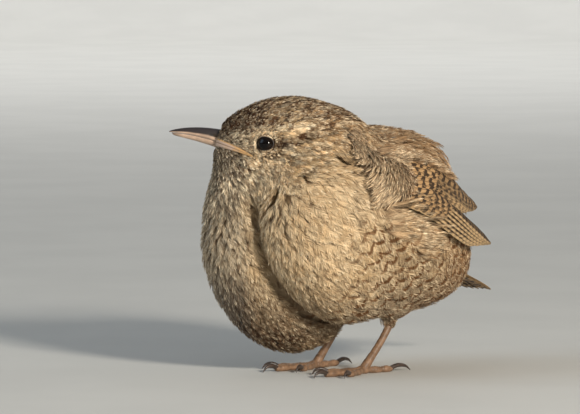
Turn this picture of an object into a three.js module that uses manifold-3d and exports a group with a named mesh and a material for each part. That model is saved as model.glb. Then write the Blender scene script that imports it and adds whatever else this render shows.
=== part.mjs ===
// A life-size Eurasian wren, fluffed up and standing still, with its head turned to its right.
// Millimetres. The body faces -X, +Y is the bird's right side and +Z is up. The feet stand on Z = 0.
import * as THREE from "three";
import { mergeVertices } from "three/addons/utils/BufferGeometryUtils.js";
import Module from "manifold-3d";

const wasm = await Module();
wasm.setup();

const GAP = 0.3; // clearance between neighbouring pieces
const SLIVER = 0.02; // how far a point may move when slivers are melted away
const UP = new THREE.Vector3(0, 0, 1);
const rad = THREE.MathUtils.degToRad;
const vec = (x, y, z) => new THREE.Vector3(x, y, z);

// Driving dimensions of the head
const HEAD_CENTRE = vec(-15.8, 2.5, 52.5);
const HEAD_TURN = -42; // degrees, towards the bird's right
const NECK_POINT = vec(-12.6, 2.3, 49.2);
const NECK_TILT = 23; // degrees that the neck cut leans forward
const EYE = { radius: 2.1, forward: 2.7, up: 1.65, lookForward: 20, lookUp: 8, sunk: 0.95 };
const ORBIT = { radius: 4.3, depth: 2 };
const LID = { radius: 1.98, thickness: 0.45 };

// Driving dimensions of the bill. The mouth line starts at the gape below the eye and climbs forward.
const MOUTH = { forward: 6.2, up: -1.6, length: 18.75, slope: 0.514, curve: 0.012 };
const UPPER_BILL = { depth: 4.1, depthPower: 0.74, tipDepth: 0.12, reach: 1 };
const LOWER_BILL = { depth: 1.6, depthPower: 0.35, tipDepth: 0.08, reach: 0.965 };
const BILL_WIDTH = { halfAtBase: 1.75, power: 0.8, halfAtTip: 0.14 };
const BILL_START = 0.2; // where the horn starts along the mouth line, inside the face
const NOSTRIL = { along: 0.46, length: 2.2, height: 0.6, depth: 0.45, up: 1.2 };
const GAPE_GROOVE = { radius: 0.32, length: 0.4, rise: 0.55 }; // length is a share of the mouth line's

// Driving dimensions of the wings, tail and legs
const VANE_THICKNESS = 0.6;
const VANE_CAMBER = 0.28;
const WING_REST = 1.05; // how far above the plumage the middle of a wing's sheet lies
const WING_FRONT = 0.16; // the share of the wing over which it comes out of the breast feathers
const WING_FRONT_DEPTH = -1.2; // how far above the plumage its front end lies
const ARM = { centre: vec(-1, -17.9, 46), radii: vec(13, 5, 5.6), yaw: -5, pitch: 4 };
const TAIL = { root: vec(17, 0, 30.2), droop: 22.4, length: 35.5, feathers: 12, width: 4.4, fan: 5.5 };
const ANKLE = vec(12.2, -8.6, 15.2);
const FOOT = vec(1.6, -8.2, 0.8);
const TARSUS_RADIUS = 0.85;
const TOE_RADIUS = 0.85;

// Plumage lobes: ellipsoids whose smooth union is the outline of the feathered body.
// blend is how far a lobe melts into those before it, pitch lowers its tail end, and crest, where given,
// is a shorter upright radius for its upper half.
const TORSO_LOBES = [
  { name: "trunk", centre: vec(4, 0, 34), radii: vec(28.5, 25, 22), pitch: 10, blend: 0 },
  { name: "left breast", centre: vec(-8, -7.9, 35.2), radii: vec(19.5, 15.6, 25), crest: 19.5, pitch: -34,
    blend: 2.8 },
  { name: "right breast", centre: vec(-8.1, 8, 31.4), radii: vec(22.2, 16.6, 27.6), crest: 19.5, pitch: -14,
    blend: 2.8 },
  { name: "crop", centre: vec(-13.5, 9.6, 39.2), radii: vec(15.2, 10.8, 11.5), pitch: -8, blend: 3 },
  { name: "mantle", centre: vec(11, 0, 45.5), radii: vec(19.5, 17, 10.8), pitch: -7, blend: 5 },
  { name: "rump", centre: vec(22, 0, 27), radii: vec(16, 15, 12), pitch: 22, blend: 8 },
];

// The head's lobes are placed forward, left and up of its centre, and turn with it.
const HEAD_LOBES = [
  { name: "crown", at: [-2.6, 0, 0.3], radii: vec(16.6, 9.6, 11.7), pitch: -2, blend: 0 },
  { name: "nape", at: [-12, 0, -0.4], radii: vec(10.2, 8.6, 9.8), pitch: 4, blend: 2 },
  { name: "face", at: [7.2, 0, 0.2], radii: vec(6.4, 4.6, 7), pitch: 0, blend: 3 },
  { name: "left cheek", at: [-1.5, 4.4, -4.4], radii: vec(8.4, 6.2, 6.6), pitch: -8, blend: 3 },
  { name: "right cheek", at: [-1.5, -4.4, -4.4], radii: vec(8.4, 6.2, 6.6), pitch: -8, blend: 3 },
  { name: "throat", at: [4.6, 0, -8.5], radii: vec(9.4, 9, 9), pitch: 0, blend: 5 },
];
const NECK_BLEND = 4.8;

// A point given forward, left and up of the head's centre, and a direction in the same terms.
const headDirection = (forward, left, up) => vec(-forward, -left, up).applyAxisAngle(UP, rad(HEAD_TURN));
const headPoint = (forward, left, up) => headDirection(forward, left, up).add(HEAD_CENTRE);

// A lobe with its turn worked out, ready to measure distances to it.
function preparedLobe({ centre, radii, crest, pitch, blend }, turn = 0) {
  const spin = new THREE.Quaternion()
    .setFromAxisAngle(UP, rad(turn))
    .multiply(new THREE.Quaternion().setFromAxisAngle(vec(0, 1, 0), rad(pitch)));
  const upperRadii = vec(radii.x, radii.y, crest ?? radii.z);
  return { centre, radii, upperRadii, blend, unspin: spin.clone().invert() };
}
const torsoField = TORSO_LOBES.map((lobe) => preparedLobe(lobe));
const headField = HEAD_LOBES.map((lobe) =>
  preparedLobe({ ...lobe, centre: headPoint(...lobe.at) }, HEAD_TURN),
);

// About how far a point lies outside an ellipsoid, below zero inside it.
function lobeDistance(point, { centre, radii: lowerRadii, upperRadii, unspin }) {
  const local = point.clone().sub(centre).applyQuaternion(unspin);
  const radii = local.z > 0 ? upperRadii : lowerRadii;
  local.divide(radii);
  const scaled = local.length();
  const steepness = local.divide(radii).length();
  return (scaled * (scaled - 1)) / Math.max(steepness, 1e-9);
}

// The smaller of two distances, with a rounded hollow of the given width where they meet.
function smoothMin(a, b, blend) {
  const share = THREE.MathUtils.clamp(0.5 + (0.5 * (b - a)) / blend, 0, 1);
  return THREE.MathUtils.lerp(b, a, share) - blend * share * (1 - share);
}
function unionDistance(point, [first, ...others]) {
  const start = lobeDistance(point, first);
  return others.reduce((d, lobe) => smoothMin(d, lobeDistance(point, lobe), lobe.blend), start);
}
const bodyDistance = (point) =>
  smoothMin(unionDistance(point, torsoField), unionDistance(point, headField), NECK_BLEND);

// Where a ray from inside the plumage leaves it, found by halving the stretch that holds the surface.
function plumageExit(origin, direction, offset = 0, distance = bodyDistance) {
  let inside = 0;
  let outside = 75;
  for (let step = 0; step < 26; step++) {
    const middle = (inside + outside) / 2;
    const depth = distance(origin.clone().addScaledVector(direction, middle)) - offset;
    if (depth < 0) inside = middle;
    else outside = middle;
  }
  return origin.clone().addScaledVector(direction, inside);
}

// Turns a closed geometry into a solid that can be joined and cut.
function solidOf(geometry) {
  const bare = geometry.index ? geometry.toNonIndexed() : geometry.clone();
  bare.deleteAttribute("normal");
  bare.deleteAttribute("uv");
  const merged = mergeVertices(bare, 1e-4);
  return new wasm.Manifold(
    new wasm.Mesh({
      numProp: 3,
      vertProperties: new Float32Array(merged.attributes.position.array),
      triVerts: new Uint32Array(merged.index.array),
    }),
  );
}

function geometryOf(solid) {
  const mesh = solid.getMesh();
  const positions = new Float32Array(mesh.numVert * 3);
  for (let i = 0; i < mesh.numVert; i++) {
    positions.set(mesh.vertProperties.subarray(i * mesh.numProp, i * mesh.numProp + 3), i * 3);
  }
  const geometry = new THREE.BufferGeometry();
  geometry.setAttribute("position", new THREE.BufferAttribute(positions, 3));
  geometry.setIndex(new THREE.BufferAttribute(new Uint32Array(mesh.triVerts), 1));
  geometry.computeVertexNormals();
  return geometry;
}

const joined = (solids) => solids.reduce((whole, solid) => whole.add(solid));
const largest = (solid) => solid.decompose().reduce((a, b) => (b.volume() > a.volume() ? b : a));

// A ball of near-even triangles whose points are moved out to the plumage's surface.
function plumageSolid(centre, detail, offset = 0) {
  const ball = new THREE.IcosahedronGeometry(1, detail);
  const position = ball.attributes.position;
  const direction = new THREE.Vector3();
  for (let i = 0; i < position.count; i++) {
    direction.fromBufferAttribute(position, i).normalize();
    position.setXYZ(i, ...plumageExit(centre, direction, offset).toArray());
  }
  return solidOf(ball);
}

// An ellipsoid turned by yaw and then pitch.
function ellipsoidSolid(centre, radii, yaw = 0, pitch = 0, detail = 5) {
  const ball = new THREE.IcosahedronGeometry(1, detail);
  ball.scale(radii.x, radii.y, radii.z);
  ball.rotateY(rad(pitch));
  ball.rotateZ(rad(yaw));
  ball.translate(centre.x, centre.y, centre.z);
  return solidOf(ball);
}

// A closed skin over rings of equal count, with flat ends. The second half of each ring is split the other
// way round, so that the two faces of a thin vane have their triangles alike.
function loft(rings) {
  const count = rings[0].length;
  const positions = rings.flat().flatMap((p) => p.toArray());
  const faces = [];
  for (let i = 0; i + 1 < rings.length; i++) {
    for (let j = 0; j < count; j++) {
      const a = i * count + j;
      const b = i * count + ((j + 1) % count);
      const [c, d] = [a + count, b + count];
      if (j < count / 2) faces.push(a, b, d, a, d, c);
      else faces.push(a, b, c, b, d, c);
    }
  }
  const last = (rings.length - 1) * count;
  for (let j = 1; j + 1 < count; j++) {
    faces.push(0, j + 1, j);
    faces.push(last, last + j, last + j + 1);
  }
  const geometry = new THREE.BufferGeometry();
  geometry.setAttribute("position", new THREE.Float32BufferAttribute(positions, 3));
  geometry.setIndex(faces);
  const solid = solidOf(geometry);
  return solid.volume() < 0 ? solidOf(flipped(geometry)) : solid;
}

function flipped(geometry) {
  const index = geometry.index.array;
  for (let i = 0; i < index.length; i += 3) [index[i + 1], index[i + 2]] = [index[i + 2], index[i + 1]];
  return geometry;
}

// A round bar along a smooth curve, its radius read off at each step.
function bar(points, radii, sides = 8, steps = points.length - 1) {
  const curve = new THREE.CatmullRomCurve3(points);
  const frames = curve.computeFrenetFrames(steps, false);
  const rings = [];
  for (let i = 0; i <= steps; i++) {
    const along = i / steps;
    const centre = curve.getPoint(along);
    const place = along * (radii.length - 1);
    const before = Math.min(Math.floor(place), radii.length - 2);
    const radius = THREE.MathUtils.lerp(radii[before], radii[before + 1], place - before);
    rings.push(
      Array.from({ length: sides }, (_, j) => {
        const angle = (2 * Math.PI * j) / sides;
        return centre
          .clone()
          .addScaledVector(frames.normals[i], radius * Math.cos(angle))
          .addScaledVector(frames.binormals[i], radius * Math.sin(angle));
      }),
    );
  }
  return loft(rings);
}

// Repeatable random numbers from 0 to 1.
function seededRandom(seed) {
  let state = seed;
  return () => {
    state = (state * 1664525 + 1013904223) % 4294967296;
    return state / 4294967296;
  };
}

// The half-width of a feather along its length, from 0 at the root to 1 at the tip, as a share of its widest.
const VANE_OUTLINE = [
  [0, 0.5],
  [0.4, 0.94],
  [0.82, 0.9],
  [1, 0.28],
];

// One flat feather: a cambered blade. Its middle line and directions are functions of the place along it.
function vane(middle, sideways, outward, halfWidth, thickness = VANE_THICKNESS) {
  const rings = VANE_OUTLINE.map(([along, share]) => {
    const centre = middle(along);
    const out = outward(along).normalize();
    const side = sideways(along).normalize();
    const half = halfWidth * share;
    const ridge = VANE_CAMBER * share;
    const corner = (s, o) => centre.clone().addScaledVector(side, s).addScaledVector(out, o);
    return [
      corner(-half, thickness / 2 - ridge),
      corner(0, thickness / 2),
      corner(half, thickness / 2 - ridge),
      corner(half, -thickness / 2 - ridge),
      corner(0, -thickness / 2),
      corner(-half, -thickness / 2 - ridge),
    ];
  });
  return loft(rings);
}

// A curved sheet between an upper and a lower edge, draped over the plumage, in which a wing's feathers lie.
// along runs from the front of the folded wing to its tip, and across from the lower edge to the upper one.
class WingSheet {
  constructor(upper, lower, bulge) {
    this.upper = new THREE.CatmullRomCurve3(upper);
    this.lower = new THREE.CatmullRomCurve3(lower);
    this.bulge = bulge;
  }
  flat(along, across) {
    return this.lower.getPoint(along).lerp(this.upper.getPoint(along), across);
  }
  outward(along, across) {
    const step = 0.02;
    const start = Math.min(Math.max(along, step), 1 - step);
    const lengthways = this.flat(start + step, across).sub(this.flat(start - step, across));
    const widthways = this.upper.getPoint(start).sub(this.lower.getPoint(start));
    return lengthways.cross(widthways).normalize();
  }
  point(along, across, height = 0) {
    const out = this.outward(along, across);
    const place = this.flat(along, across).addScaledVector(out, this.bulge * 4 * across * (1 - across));
    const rise = THREE.MathUtils.smoothstep(along, 0, WING_FRONT);
    const sunk = THREE.MathUtils.lerp(WING_FRONT_DEPTH, WING_REST, rise) - bodyDistance(place);
    return place.addScaledVector(out, height * rise - smoothMin(-sunk, 0, 1));
  }
  normal(along, across) {
    const step = 0.03;
    const [a, c] = [Math.min(Math.max(along, step), 1 - step), Math.min(Math.max(across, step), 1 - step)];
    const lengthways = this.point(a + step, c).sub(this.point(a - step, c));
    const widthways = this.point(a, c + step).sub(this.point(a, c - step));
    return lengthways.cross(widthways).normalize();
  }
}

// The sheets of the left wing. It is a little open, so that the primaries show below the coverts.
const COVERT_SHEET = new WingSheet(
  [vec(-11, -19.8, 48), vec(-5, -18.6, 50.6), vec(1, -18, 51.4), vec(8, -18.4, 50.2), vec(16, -18.2, 46.4),
    vec(25, -15.8, 41.8), vec(33, -12.2, 37.6)],
  [vec(-11, -21.6, 46), vec(-6, -22.8, 43.8), vec(0, -24, 42.8), vec(8, -24.2, 41.2), vec(16, -21.8, 38.2),
    vec(25, -17.4, 36.9), vec(32.6, -12.6, 36.8)],
  0.4,
);
const PRIMARY_SHEET = new WingSheet(
  [
    vec(-6, -22.8, 45.4),
    vec(6.5, -23.4, 42),
    vec(18.5, -21.6, 37),
    vec(27, -18.6, 33.4),
    vec(36.2, -13.4, 29),
  ],
  [vec(-6, -23.6, 42.4), vec(5, -25.2, 37.4), vec(14, -24.4, 32.6), vec(24, -20.3, 29.4), vec(35, -14.2, 28)],
  0.3,
);

// The web of a wing: a blade over the whole width of a sheet, thinned at its edges and towards its far end.
function webSolid(sheet, from, to, thickness) {
  const stations = 9;
  const lanes = 4;
  const rings = [];
  for (let i = 0; i <= stations; i++) {
    const along = THREE.MathUtils.lerp(from, to, i / stations);
    const half = (thickness / 2) * THREE.MathUtils.lerp(1, 0.3, THREE.MathUtils.smoothstep(along, 0.35, to));
    const lane = (j, side) => {
      const across = j / lanes;
      const rim = j === 0 || j === lanes ? 0.5 : 1;
      return sheet.point(along, across, side * half * rim);
    };
    const top = Array.from({ length: lanes + 1 }, (_, j) => lane(j, 1));
    const under = Array.from({ length: lanes + 1 }, (_, j) => lane(lanes - j, -1));
    rings.push([...top, ...under]);
  }
  return loft(rings);
}

// Rows of feathers on the left wing. Places are given as [along, across] on the sheet for the lowest and the
// highest feather of the row, height lifts the row off the sheet, step lifts each feather over the one below
// it, and arch moves the tips of the middle ones further back.
const WING_ROWS = [
  { name: "primaries", sheet: PRIMARY_SHEET, count: 5, halfWidth: 1.75, height: 0.1, step: 0.16,
    root: [[0.2, 0.14], [0.26, 0.8]], tip: [[0.66, 0.12], [0.985, 0.6]], arch: 0.09 },
  { name: "primary coverts", sheet: PRIMARY_SHEET, count: 2, halfWidth: 2, height: 0.75, step: 0.14,
    root: [[0.04, 0.3], [0.04, 0.8]], tip: [[0.36, 0.28], [0.42, 0.72]], arch: 0.02 },
  { name: "secondaries", sheet: COVERT_SHEET, count: 3, halfWidth: 2.4, height: 0.15, step: 0.2,
    root: [[0.3, 0.12], [0.36, 0.62]], tip: [[0.86, 0.1], [0.98, 0.5]], arch: 0.03 },
  { name: "tertials", sheet: COVERT_SHEET, count: 3, halfWidth: 2.2, height: 0.6, step: 0.16,
    root: [[0.34, 0.5], [0.34, 0.72]], tip: [[0.985, 0.48], [0.76, 0.72]], arch: 0.02 },
  { name: "greater coverts", sheet: COVERT_SHEET, count: 4, halfWidth: 2.4, height: 0.75, step: 0.1,
    root: [[0.2, 0.1], [0.22, 0.8]], tip: [[0.53, 0.1], [0.56, 0.78]], arch: 0.02 },
  { name: "median coverts", sheet: COVERT_SHEET, count: 3, halfWidth: 2.5, height: 1, step: 0.08,
    root: [[0.08, 0.16], [0.1, 0.82]], tip: [[0.36, 0.12], [0.38, 0.8]], arch: 0.02 },
];
const WEB_END = 0.84; // where the webs stop along their sheets, so that the feathers' tips are free

// Feather i of a row, curved along the wing's sheet. unevenness shortens or lengthens it a little.
function wingFeather(row, i, unevenness) {
  const share = i / (row.count - 1);
  const between = (pair, k) => THREE.MathUtils.lerp(pair[0][k], pair[1][k], share);
  const reach = between(row.tip, 0) + row.arch * 4 * share * (1 - share) + unevenness;
  const height = row.height + i * row.step;
  const at = (t) => [
    THREE.MathUtils.lerp(between(row.root, 0), Math.min(reach, 1), t),
    THREE.MathUtils.lerp(between(row.root, 1), between(row.tip, 1), t),
  ];
  const middle = (t) => row.sheet.point(...at(t), height);
  const outward = (t) => row.sheet.normal(...at(t));
  const sideways = (t) => {
    const start = Math.min(t, 0.96);
    return middle(start + 0.04).sub(middle(start)).cross(outward(t));
  };
  return vane(middle, sideways, outward, row.halfWidth);
}

// The whole wing on the left side: the feathered arm, the two webs and every row of feathers, fused.
function leftWingSolid() {
  const random = seededRandom(7);
  const arm = ellipsoidSolid(ARM.centre, ARM.radii, ARM.yaw, ARM.pitch, 4);
  const webs = [webSolid(COVERT_SHEET, 0, WEB_END, 1.4), webSolid(PRIMARY_SHEET, 0, WEB_END - 0.14, 1.2)];
  const feathers = WING_ROWS.flatMap((row) =>
    Array.from({ length: row.count }, (_, i) => wingFeather(row, i, (random() - 0.5) * 0.016)),
  );
  return joined([arm, ...webs, ...feathers]);
}

const mirroredY = (solid) => solid.mirror([0, 1, 0]);

// Twelve tail feathers, the middle pair on top and each further pair a little lower, shorter and wider apart.
function tailSolid() {
  const droop = rad(TAIL.droop);
  const back = vec(Math.cos(droop), 0, -Math.sin(droop));
  const lift = vec(Math.sin(droop), 0, Math.cos(droop));
  const root = ellipsoidSolid(TAIL.root, vec(7, 4.5, 2.6), 0, TAIL.droop, 3);
  const pairs = TAIL.feathers / 2;
  const feathers = [];
  for (const side of [-1, 1]) {
    for (let i = 0; i < pairs; i++) {
      const outer = (i + 0.5) / pairs;
      const fan = rad(side * outer * TAIL.fan);
      const direction = back.clone().applyAxisAngle(lift, fan);
      const length = TAIL.length * (1 - 0.16 * outer ** 2);
      const start = TAIL.root.clone().add(vec(0, side * outer * 1.6, 0));
      const drop = -0.3 * i - (side > 0 ? 0.12 : 0);
      const bow = (t) => 1.2 * t * (1 - t);
      const along = (t) => start.clone().addScaledVector(direction, length * t);
      const middle = (t) => along(t).addScaledVector(lift, drop + bow(t));
      const sideways = () => direction.clone().cross(lift);
      feathers.push(vane(middle, sideways, () => lift.clone(), TAIL.width / 2));
    }
  }
  return joined([root, ...feathers]);
}

// A point on the bill: along the mouth line, to the left of it and above it.
function billPoint(along, left, up) {
  const reach = along * MOUTH.length;
  const climb = MOUTH.slope * reach - MOUTH.curve * reach ** 2;
  return headPoint(MOUTH.forward + reach, left, MOUTH.up + climb + up);
}
const billHalfWidth = (along) =>
  BILL_WIDTH.halfAtTip + BILL_WIDTH.halfAtBase * Math.max(1 - along, 0) ** BILL_WIDTH.power;

// Half of the bill: side is 1 for the upper one and -1 for the lower, and grow makes the pocket it sits in.
function billHalf(side, grow = 0) {
  const half = side > 0 ? UPPER_BILL : LOWER_BILL;
  const steps = 10;
  const corners = 8;
  const start = BILL_START - grow / MOUTH.length;
  const edge = side * (GAP / 2 - grow);
  const rings = [];
  for (let i = 0; i <= steps; i++) {
    const along = THREE.MathUtils.lerp(start, half.reach, i / steps);
    const taper = Math.max(1 - along / half.reach, 0);
    const halfWidth = billHalfWidth(along / half.reach) + grow;
    const height = half.tipDepth + half.depth * taper ** half.depthPower + grow;
    rings.push(
      Array.from({ length: corners + 1 }, (_, j) => {
        const angle = (Math.PI * j) / corners;
        const bulge = Math.abs(Math.sin(angle)) ** 0.8;
        return billPoint(along, halfWidth * Math.cos(angle), edge + side * height * bulge);
      }),
    );
  }
  return loft(rings);
}

// The slot of a nostril, on the side of the upper bill in front of the feathers.
function nostrilSlot(side) {
  const centre = billPoint(NOSTRIL.along, side * billHalfWidth(NOSTRIL.along) * 0.9, NOSTRIL.up);
  const ahead = billPoint(NOSTRIL.along + 0.05, side * billHalfWidth(NOSTRIL.along + 0.05) * 0.9, NOSTRIL.up);
  const slot = new THREE.IcosahedronGeometry(1, 2);
  slot.scale(NOSTRIL.length / 2, NOSTRIL.depth, NOSTRIL.height / 2);
  const turn = new THREE.Quaternion().setFromUnitVectors(vec(1, 0, 0), ahead.sub(centre).normalize());
  slot.applyQuaternion(turn);
  slot.translate(centre.x, centre.y, centre.z);
  return solidOf(slot);
}

// The groove of the mouth, from beside the horn back to the gape in the cheek feathers, rising a little.
function gapeGroove(side) {
  const { radius, length, rise } = GAPE_GROOVE;
  const points = [0, 0.3, 0.6, 0.85, 1].map((share) =>
    plumageExit(billPoint(share * length, 0, rise * (1 - share)), headDirection(0, side, 0), -0.05),
  );
  return bar(points, [radius * 0.5, radius, radius, radius], 8, 6);
}

// Where an eye's centre lies: under the plumage's surface, straight out from the middle of the head.
function eyeCentre(side) {
  const look = rad(EYE.lookForward);
  const outward = headDirection(Math.sin(look), side * Math.cos(look), Math.sin(rad(EYE.lookUp))).normalize();
  const inHead = headPoint(EYE.forward, 0, EYE.up);
  const exit = plumageExit(inHead, headDirection(0, side, 0), 0, (point) => unionDistance(point, headField));
  return { outward, centre: exit.addScaledVector(outward, -EYE.sunk) };
}

function eyeSolid(side, grow = 0) {
  const ball = new THREE.SphereGeometry(EYE.radius + grow, 16, 12);
  const { centre } = eyeCentre(side);
  ball.translate(centre.x, centre.y, centre.z);
  return solidOf(ball);
}

// The dish in the short feathers round an eye.
function orbitSolid(side) {
  const dish = new THREE.IcosahedronGeometry(1, 3);
  const { centre, outward } = eyeCentre(side);
  dish.scale(ORBIT.radius, ORBIT.radius, ORBIT.depth);
  dish.applyQuaternion(new THREE.Quaternion().setFromUnitVectors(UP, outward));
  const place = centre.clone().addScaledVector(outward, EYE.sunk + ORBIT.depth - 0.1);
  dish.translate(place.x, place.y, place.z);
  return solidOf(dish);
}

// The bare rim of the eyelids, raised a little off the feathers.
function lidSolid(side) {
  const ring = new THREE.TorusGeometry(LID.radius, LID.thickness, 7, 22);
  const { centre, outward } = eyeCentre(side);
  ring.applyQuaternion(new THREE.Quaternion().setFromUnitVectors(UP, outward));
  const place = centre.clone().addScaledVector(outward, EYE.sunk - 0.05);
  ring.translate(place.x, place.y, place.z);
  return solidOf(ring);
}

// Everything on the head's side of the neck cut, moved by shift along the cut's normal.
function neckHalfSpace(shift) {
  const size = 140;
  const box = new THREE.BoxGeometry(size, size, size);
  const normal = headDirection(Math.sin(rad(NECK_TILT)), 0, Math.cos(rad(NECK_TILT)));
  box.translate(0, 0, size / 2 + shift);
  box.applyQuaternion(new THREE.Quaternion().setFromUnitVectors(UP, normal));
  box.translate(NECK_POINT.x, NECK_POINT.y, NECK_POINT.z);
  return solidOf(box);
}

// The feathered lower thigh, a sleeve that narrows to the ankle.
const thighSolid = () => {
  const top = ANKLE.clone().add(vec(-6.5, -0.8, 7.5));
  const middle = ANKLE.clone().add(vec(-2.8, -0.6, 2));
  return bar([top, middle, ANKLE.clone().add(vec(-3, 0, -4.4))], [6, 5.4, 1.5], 14, 8);
};

// The toes of the left foot: heading in degrees from straight ahead, outwards, with length and claw.
const TOES = [
  { name: "inner", heading: -26, length: 9.2, claw: 3.4, radius: 0.8 },
  { name: "middle", heading: 2, length: 12.4, claw: 3.8, radius: 0.9 },
  { name: "outer", heading: 27, length: 9.8, claw: 3.4, radius: 0.8 },
  { name: "hind", heading: 172, length: 7.8, claw: 5.4, radius: 0.9 },
];

// A toe with its swollen joints, ending in a curved claw that touches the ground.
function toeSolid({ heading, length, claw, radius }) {
  const ahead = vec(-1, 0, 0).applyAxisAngle(UP, rad(heading));
  const at = (reach, height) => FOOT.clone().addScaledVector(ahead, reach).setZ(height);
  const axis = TOE_RADIUS * 0.8;
  const toe = bar(
    [at(0, axis + 0.5), at(length * 0.34, axis), at(length * 0.68, axis), at(length, axis)],
    [radius, radius * 0.8, radius, radius * 0.72, radius * 0.94, radius * 0.6],
    6,
    5,
  );
  const nail = bar(
    [
      at(length - 0.8, axis),
      at(length + claw * 0.35, axis + 0.75),
      at(length + claw * 0.75, axis + 0.45),
      at(length + claw, 0.12),
    ],
    [radius * 0.66, radius * 0.6, radius * 0.4, 0.12],
    5,
    4,
  );
  return toe.add(nail);
}

// The bare leg: the scaled tarsus from the ankle down, the pad and four toes, with flat soles on the ground.
function legSolid() {
  const knuckle = FOOT.clone().setZ(TOE_RADIUS + 0.3);
  const tarsus = bar(
    [ANKLE, ANKLE.clone().lerp(knuckle, 0.5).add(vec(0.5, 0, -0.3)), knuckle],
    [TARSUS_RADIUS * 1.35, TARSUS_RADIUS, TARSUS_RADIUS * 0.95, TARSUS_RADIUS, TARSUS_RADIUS * 1.3],
    8,
    5,
  );
  const pad = ellipsoidSolid(FOOT.clone().setZ(0.75), vec(1.5, 1.35, 1.05), 0, 0, 2);
  const ground = new THREE.BoxGeometry(80, 80, 20);
  ground.translate(0, 0, -10);
  return joined([tarsus, pad, ...TOES.map(toeSolid)]).subtract(solidOf(ground));
}

// Head and torso come from the same plumage and are parted by the neck cut.
const headSide = neckHalfSpace(GAP / 2);
const headSideWide = neckHalfSpace(-GAP / 2);
const torsoCentre = vec(3, 0, 33);
const wholeTorso = plumageSolid(torsoCentre, 12);
const torsoClearance = plumageSolid(torsoCentre, 12, GAP);
const headBall = plumageSolid(headPoint(-1, 0, -1), 10).intersect(headSide);

// A feathered piece cut clear of the torso, with the slivers that its unions leave melted away.
const trimmed = (solid) => largest(solid.subtract(torsoClearance)).asOriginal().simplify(SLIVER);

const sides = [
  { name: "left", sign: 1, place: (solid) => solid },
  { name: "right", sign: -1, place: mirroredY },
];
const upperBill = billHalf(1).subtract(nostrilSlot(1)).subtract(nostrilSlot(-1));
const lowerBill = billHalf(-1);
const orbits = sides.map(({ sign }) => orbitSolid(sign));
const lids = sides.map(({ sign }) => lidSolid(sign));
const sockets = sides.map(({ sign }) => eyeSolid(sign, GAP));
const head = largest(
  joined([headBall.subtract(joined(orbits)), ...lids])
    .subtract(joined(sockets))
    .subtract(joined(sides.map(({ sign }) => gapeGroove(sign))))
    .subtract(billHalf(1, GAP))
    .subtract(billHalf(-1, GAP)),
);

const thigh = thighSolid();
const leg = legSolid();
const legPocket = bar(
  [ANKLE.clone().add(vec(0.6, 0, 0.9)), FOOT.clone().setZ(TOE_RADIUS)],
  [TARSUS_RADIUS * 1.35 + GAP, TARSUS_RADIUS + GAP],
  12,
  3,
);
const pieces = [
  { name: "head", solid: head, finish: "plumage" },
  { name: "upper_bill", solid: upperBill, finish: "horn" },
  { name: "lower_bill", solid: lowerBill, finish: "pale_horn" },
];
let torso = wholeTorso.subtract(headSideWide);
for (const { name, sign, place } of sides) {
  const sideThigh = place(thigh).subtract(place(legPocket));
  pieces.push(
    { name: `${name}_eye`, solid: eyeSolid(sign), finish: "eye" },
    { name: `${name}_wing`, solid: trimmed(place(leftWingSolid())), finish: "wing" },
    { name: `${name}_thigh`, solid: trimmed(sideThigh), finish: "plumage" },
    { name: `${name}_leg`, solid: place(leg), finish: "leg" },
  );
  torso = torso.subtract(place(legPocket));
}
pieces.push(
  { name: "torso", solid: largest(torso), finish: "plumage" },
  { name: "tail", solid: trimmed(tailSolid()), finish: "wing" },
);

const FINISHES = {
  plumage: { color: 0x8c7458, roughness: 0.92, metalness: 0 },
  wing: { color: 0x8a6440, roughness: 0.8, metalness: 0 },
  horn: { color: 0x4b4340, roughness: 0.4, metalness: 0 },
  pale_horn: { color: 0xb09080, roughness: 0.42, metalness: 0 },
  eye: { color: 0x120d0a, roughness: 0.08, metalness: 0 },
  leg: { color: 0x8a6a50, roughness: 0.6, metalness: 0 },
};
const wren = new THREE.Group();
for (const { name, solid, finish } of pieces) {
  const mesh = new THREE.Mesh(geometryOf(solid), new THREE.MeshStandardMaterial(FINISHES[finish]));
  mesh.name = name;
  wren.add(mesh);
}

// The origin is on the ground, under the middle of the whole bird.
const middle = new THREE.Box3().setFromObject(wren).getCenter(new THREE.Vector3());
wren.position.set(-middle.x, -middle.y, 0);

export default wren;
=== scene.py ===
"""The feathers, bill, eyes and legs of a life-size wren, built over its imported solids.

All shapes are worked out in millimetres in the bird's own axes: it faces -X, +Y is its right side and its
soles stand on Z = 0. place() turns them into the scene's metres.
"""

import math

import bmesh
import bpy
import numpy as np
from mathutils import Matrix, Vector
from mathutils.kdtree import KDTree


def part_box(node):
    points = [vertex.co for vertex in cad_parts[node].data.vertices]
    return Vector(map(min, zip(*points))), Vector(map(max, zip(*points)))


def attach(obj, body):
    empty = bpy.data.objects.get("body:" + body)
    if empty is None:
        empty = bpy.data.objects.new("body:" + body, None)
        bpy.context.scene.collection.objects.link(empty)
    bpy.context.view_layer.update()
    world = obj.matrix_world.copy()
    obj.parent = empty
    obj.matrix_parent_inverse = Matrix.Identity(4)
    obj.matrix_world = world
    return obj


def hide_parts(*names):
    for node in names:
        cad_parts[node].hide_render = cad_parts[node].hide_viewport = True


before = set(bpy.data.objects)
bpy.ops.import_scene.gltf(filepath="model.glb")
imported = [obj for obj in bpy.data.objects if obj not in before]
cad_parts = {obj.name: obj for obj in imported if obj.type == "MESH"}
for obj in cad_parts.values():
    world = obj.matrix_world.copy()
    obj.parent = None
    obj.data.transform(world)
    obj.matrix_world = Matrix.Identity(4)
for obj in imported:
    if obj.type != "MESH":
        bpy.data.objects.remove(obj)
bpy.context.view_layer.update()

bl_info = {
    "name": "Wren Plumage",
    "version": (1, 0, 0),
    "blender": (4, 5, 0),
    "location": "3D View > Sidebar > Wren",
    "description": "Builds a wren's skin, feathers, bill, eyes and legs around its solids",
    "category": "Add Mesh",
}

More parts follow.
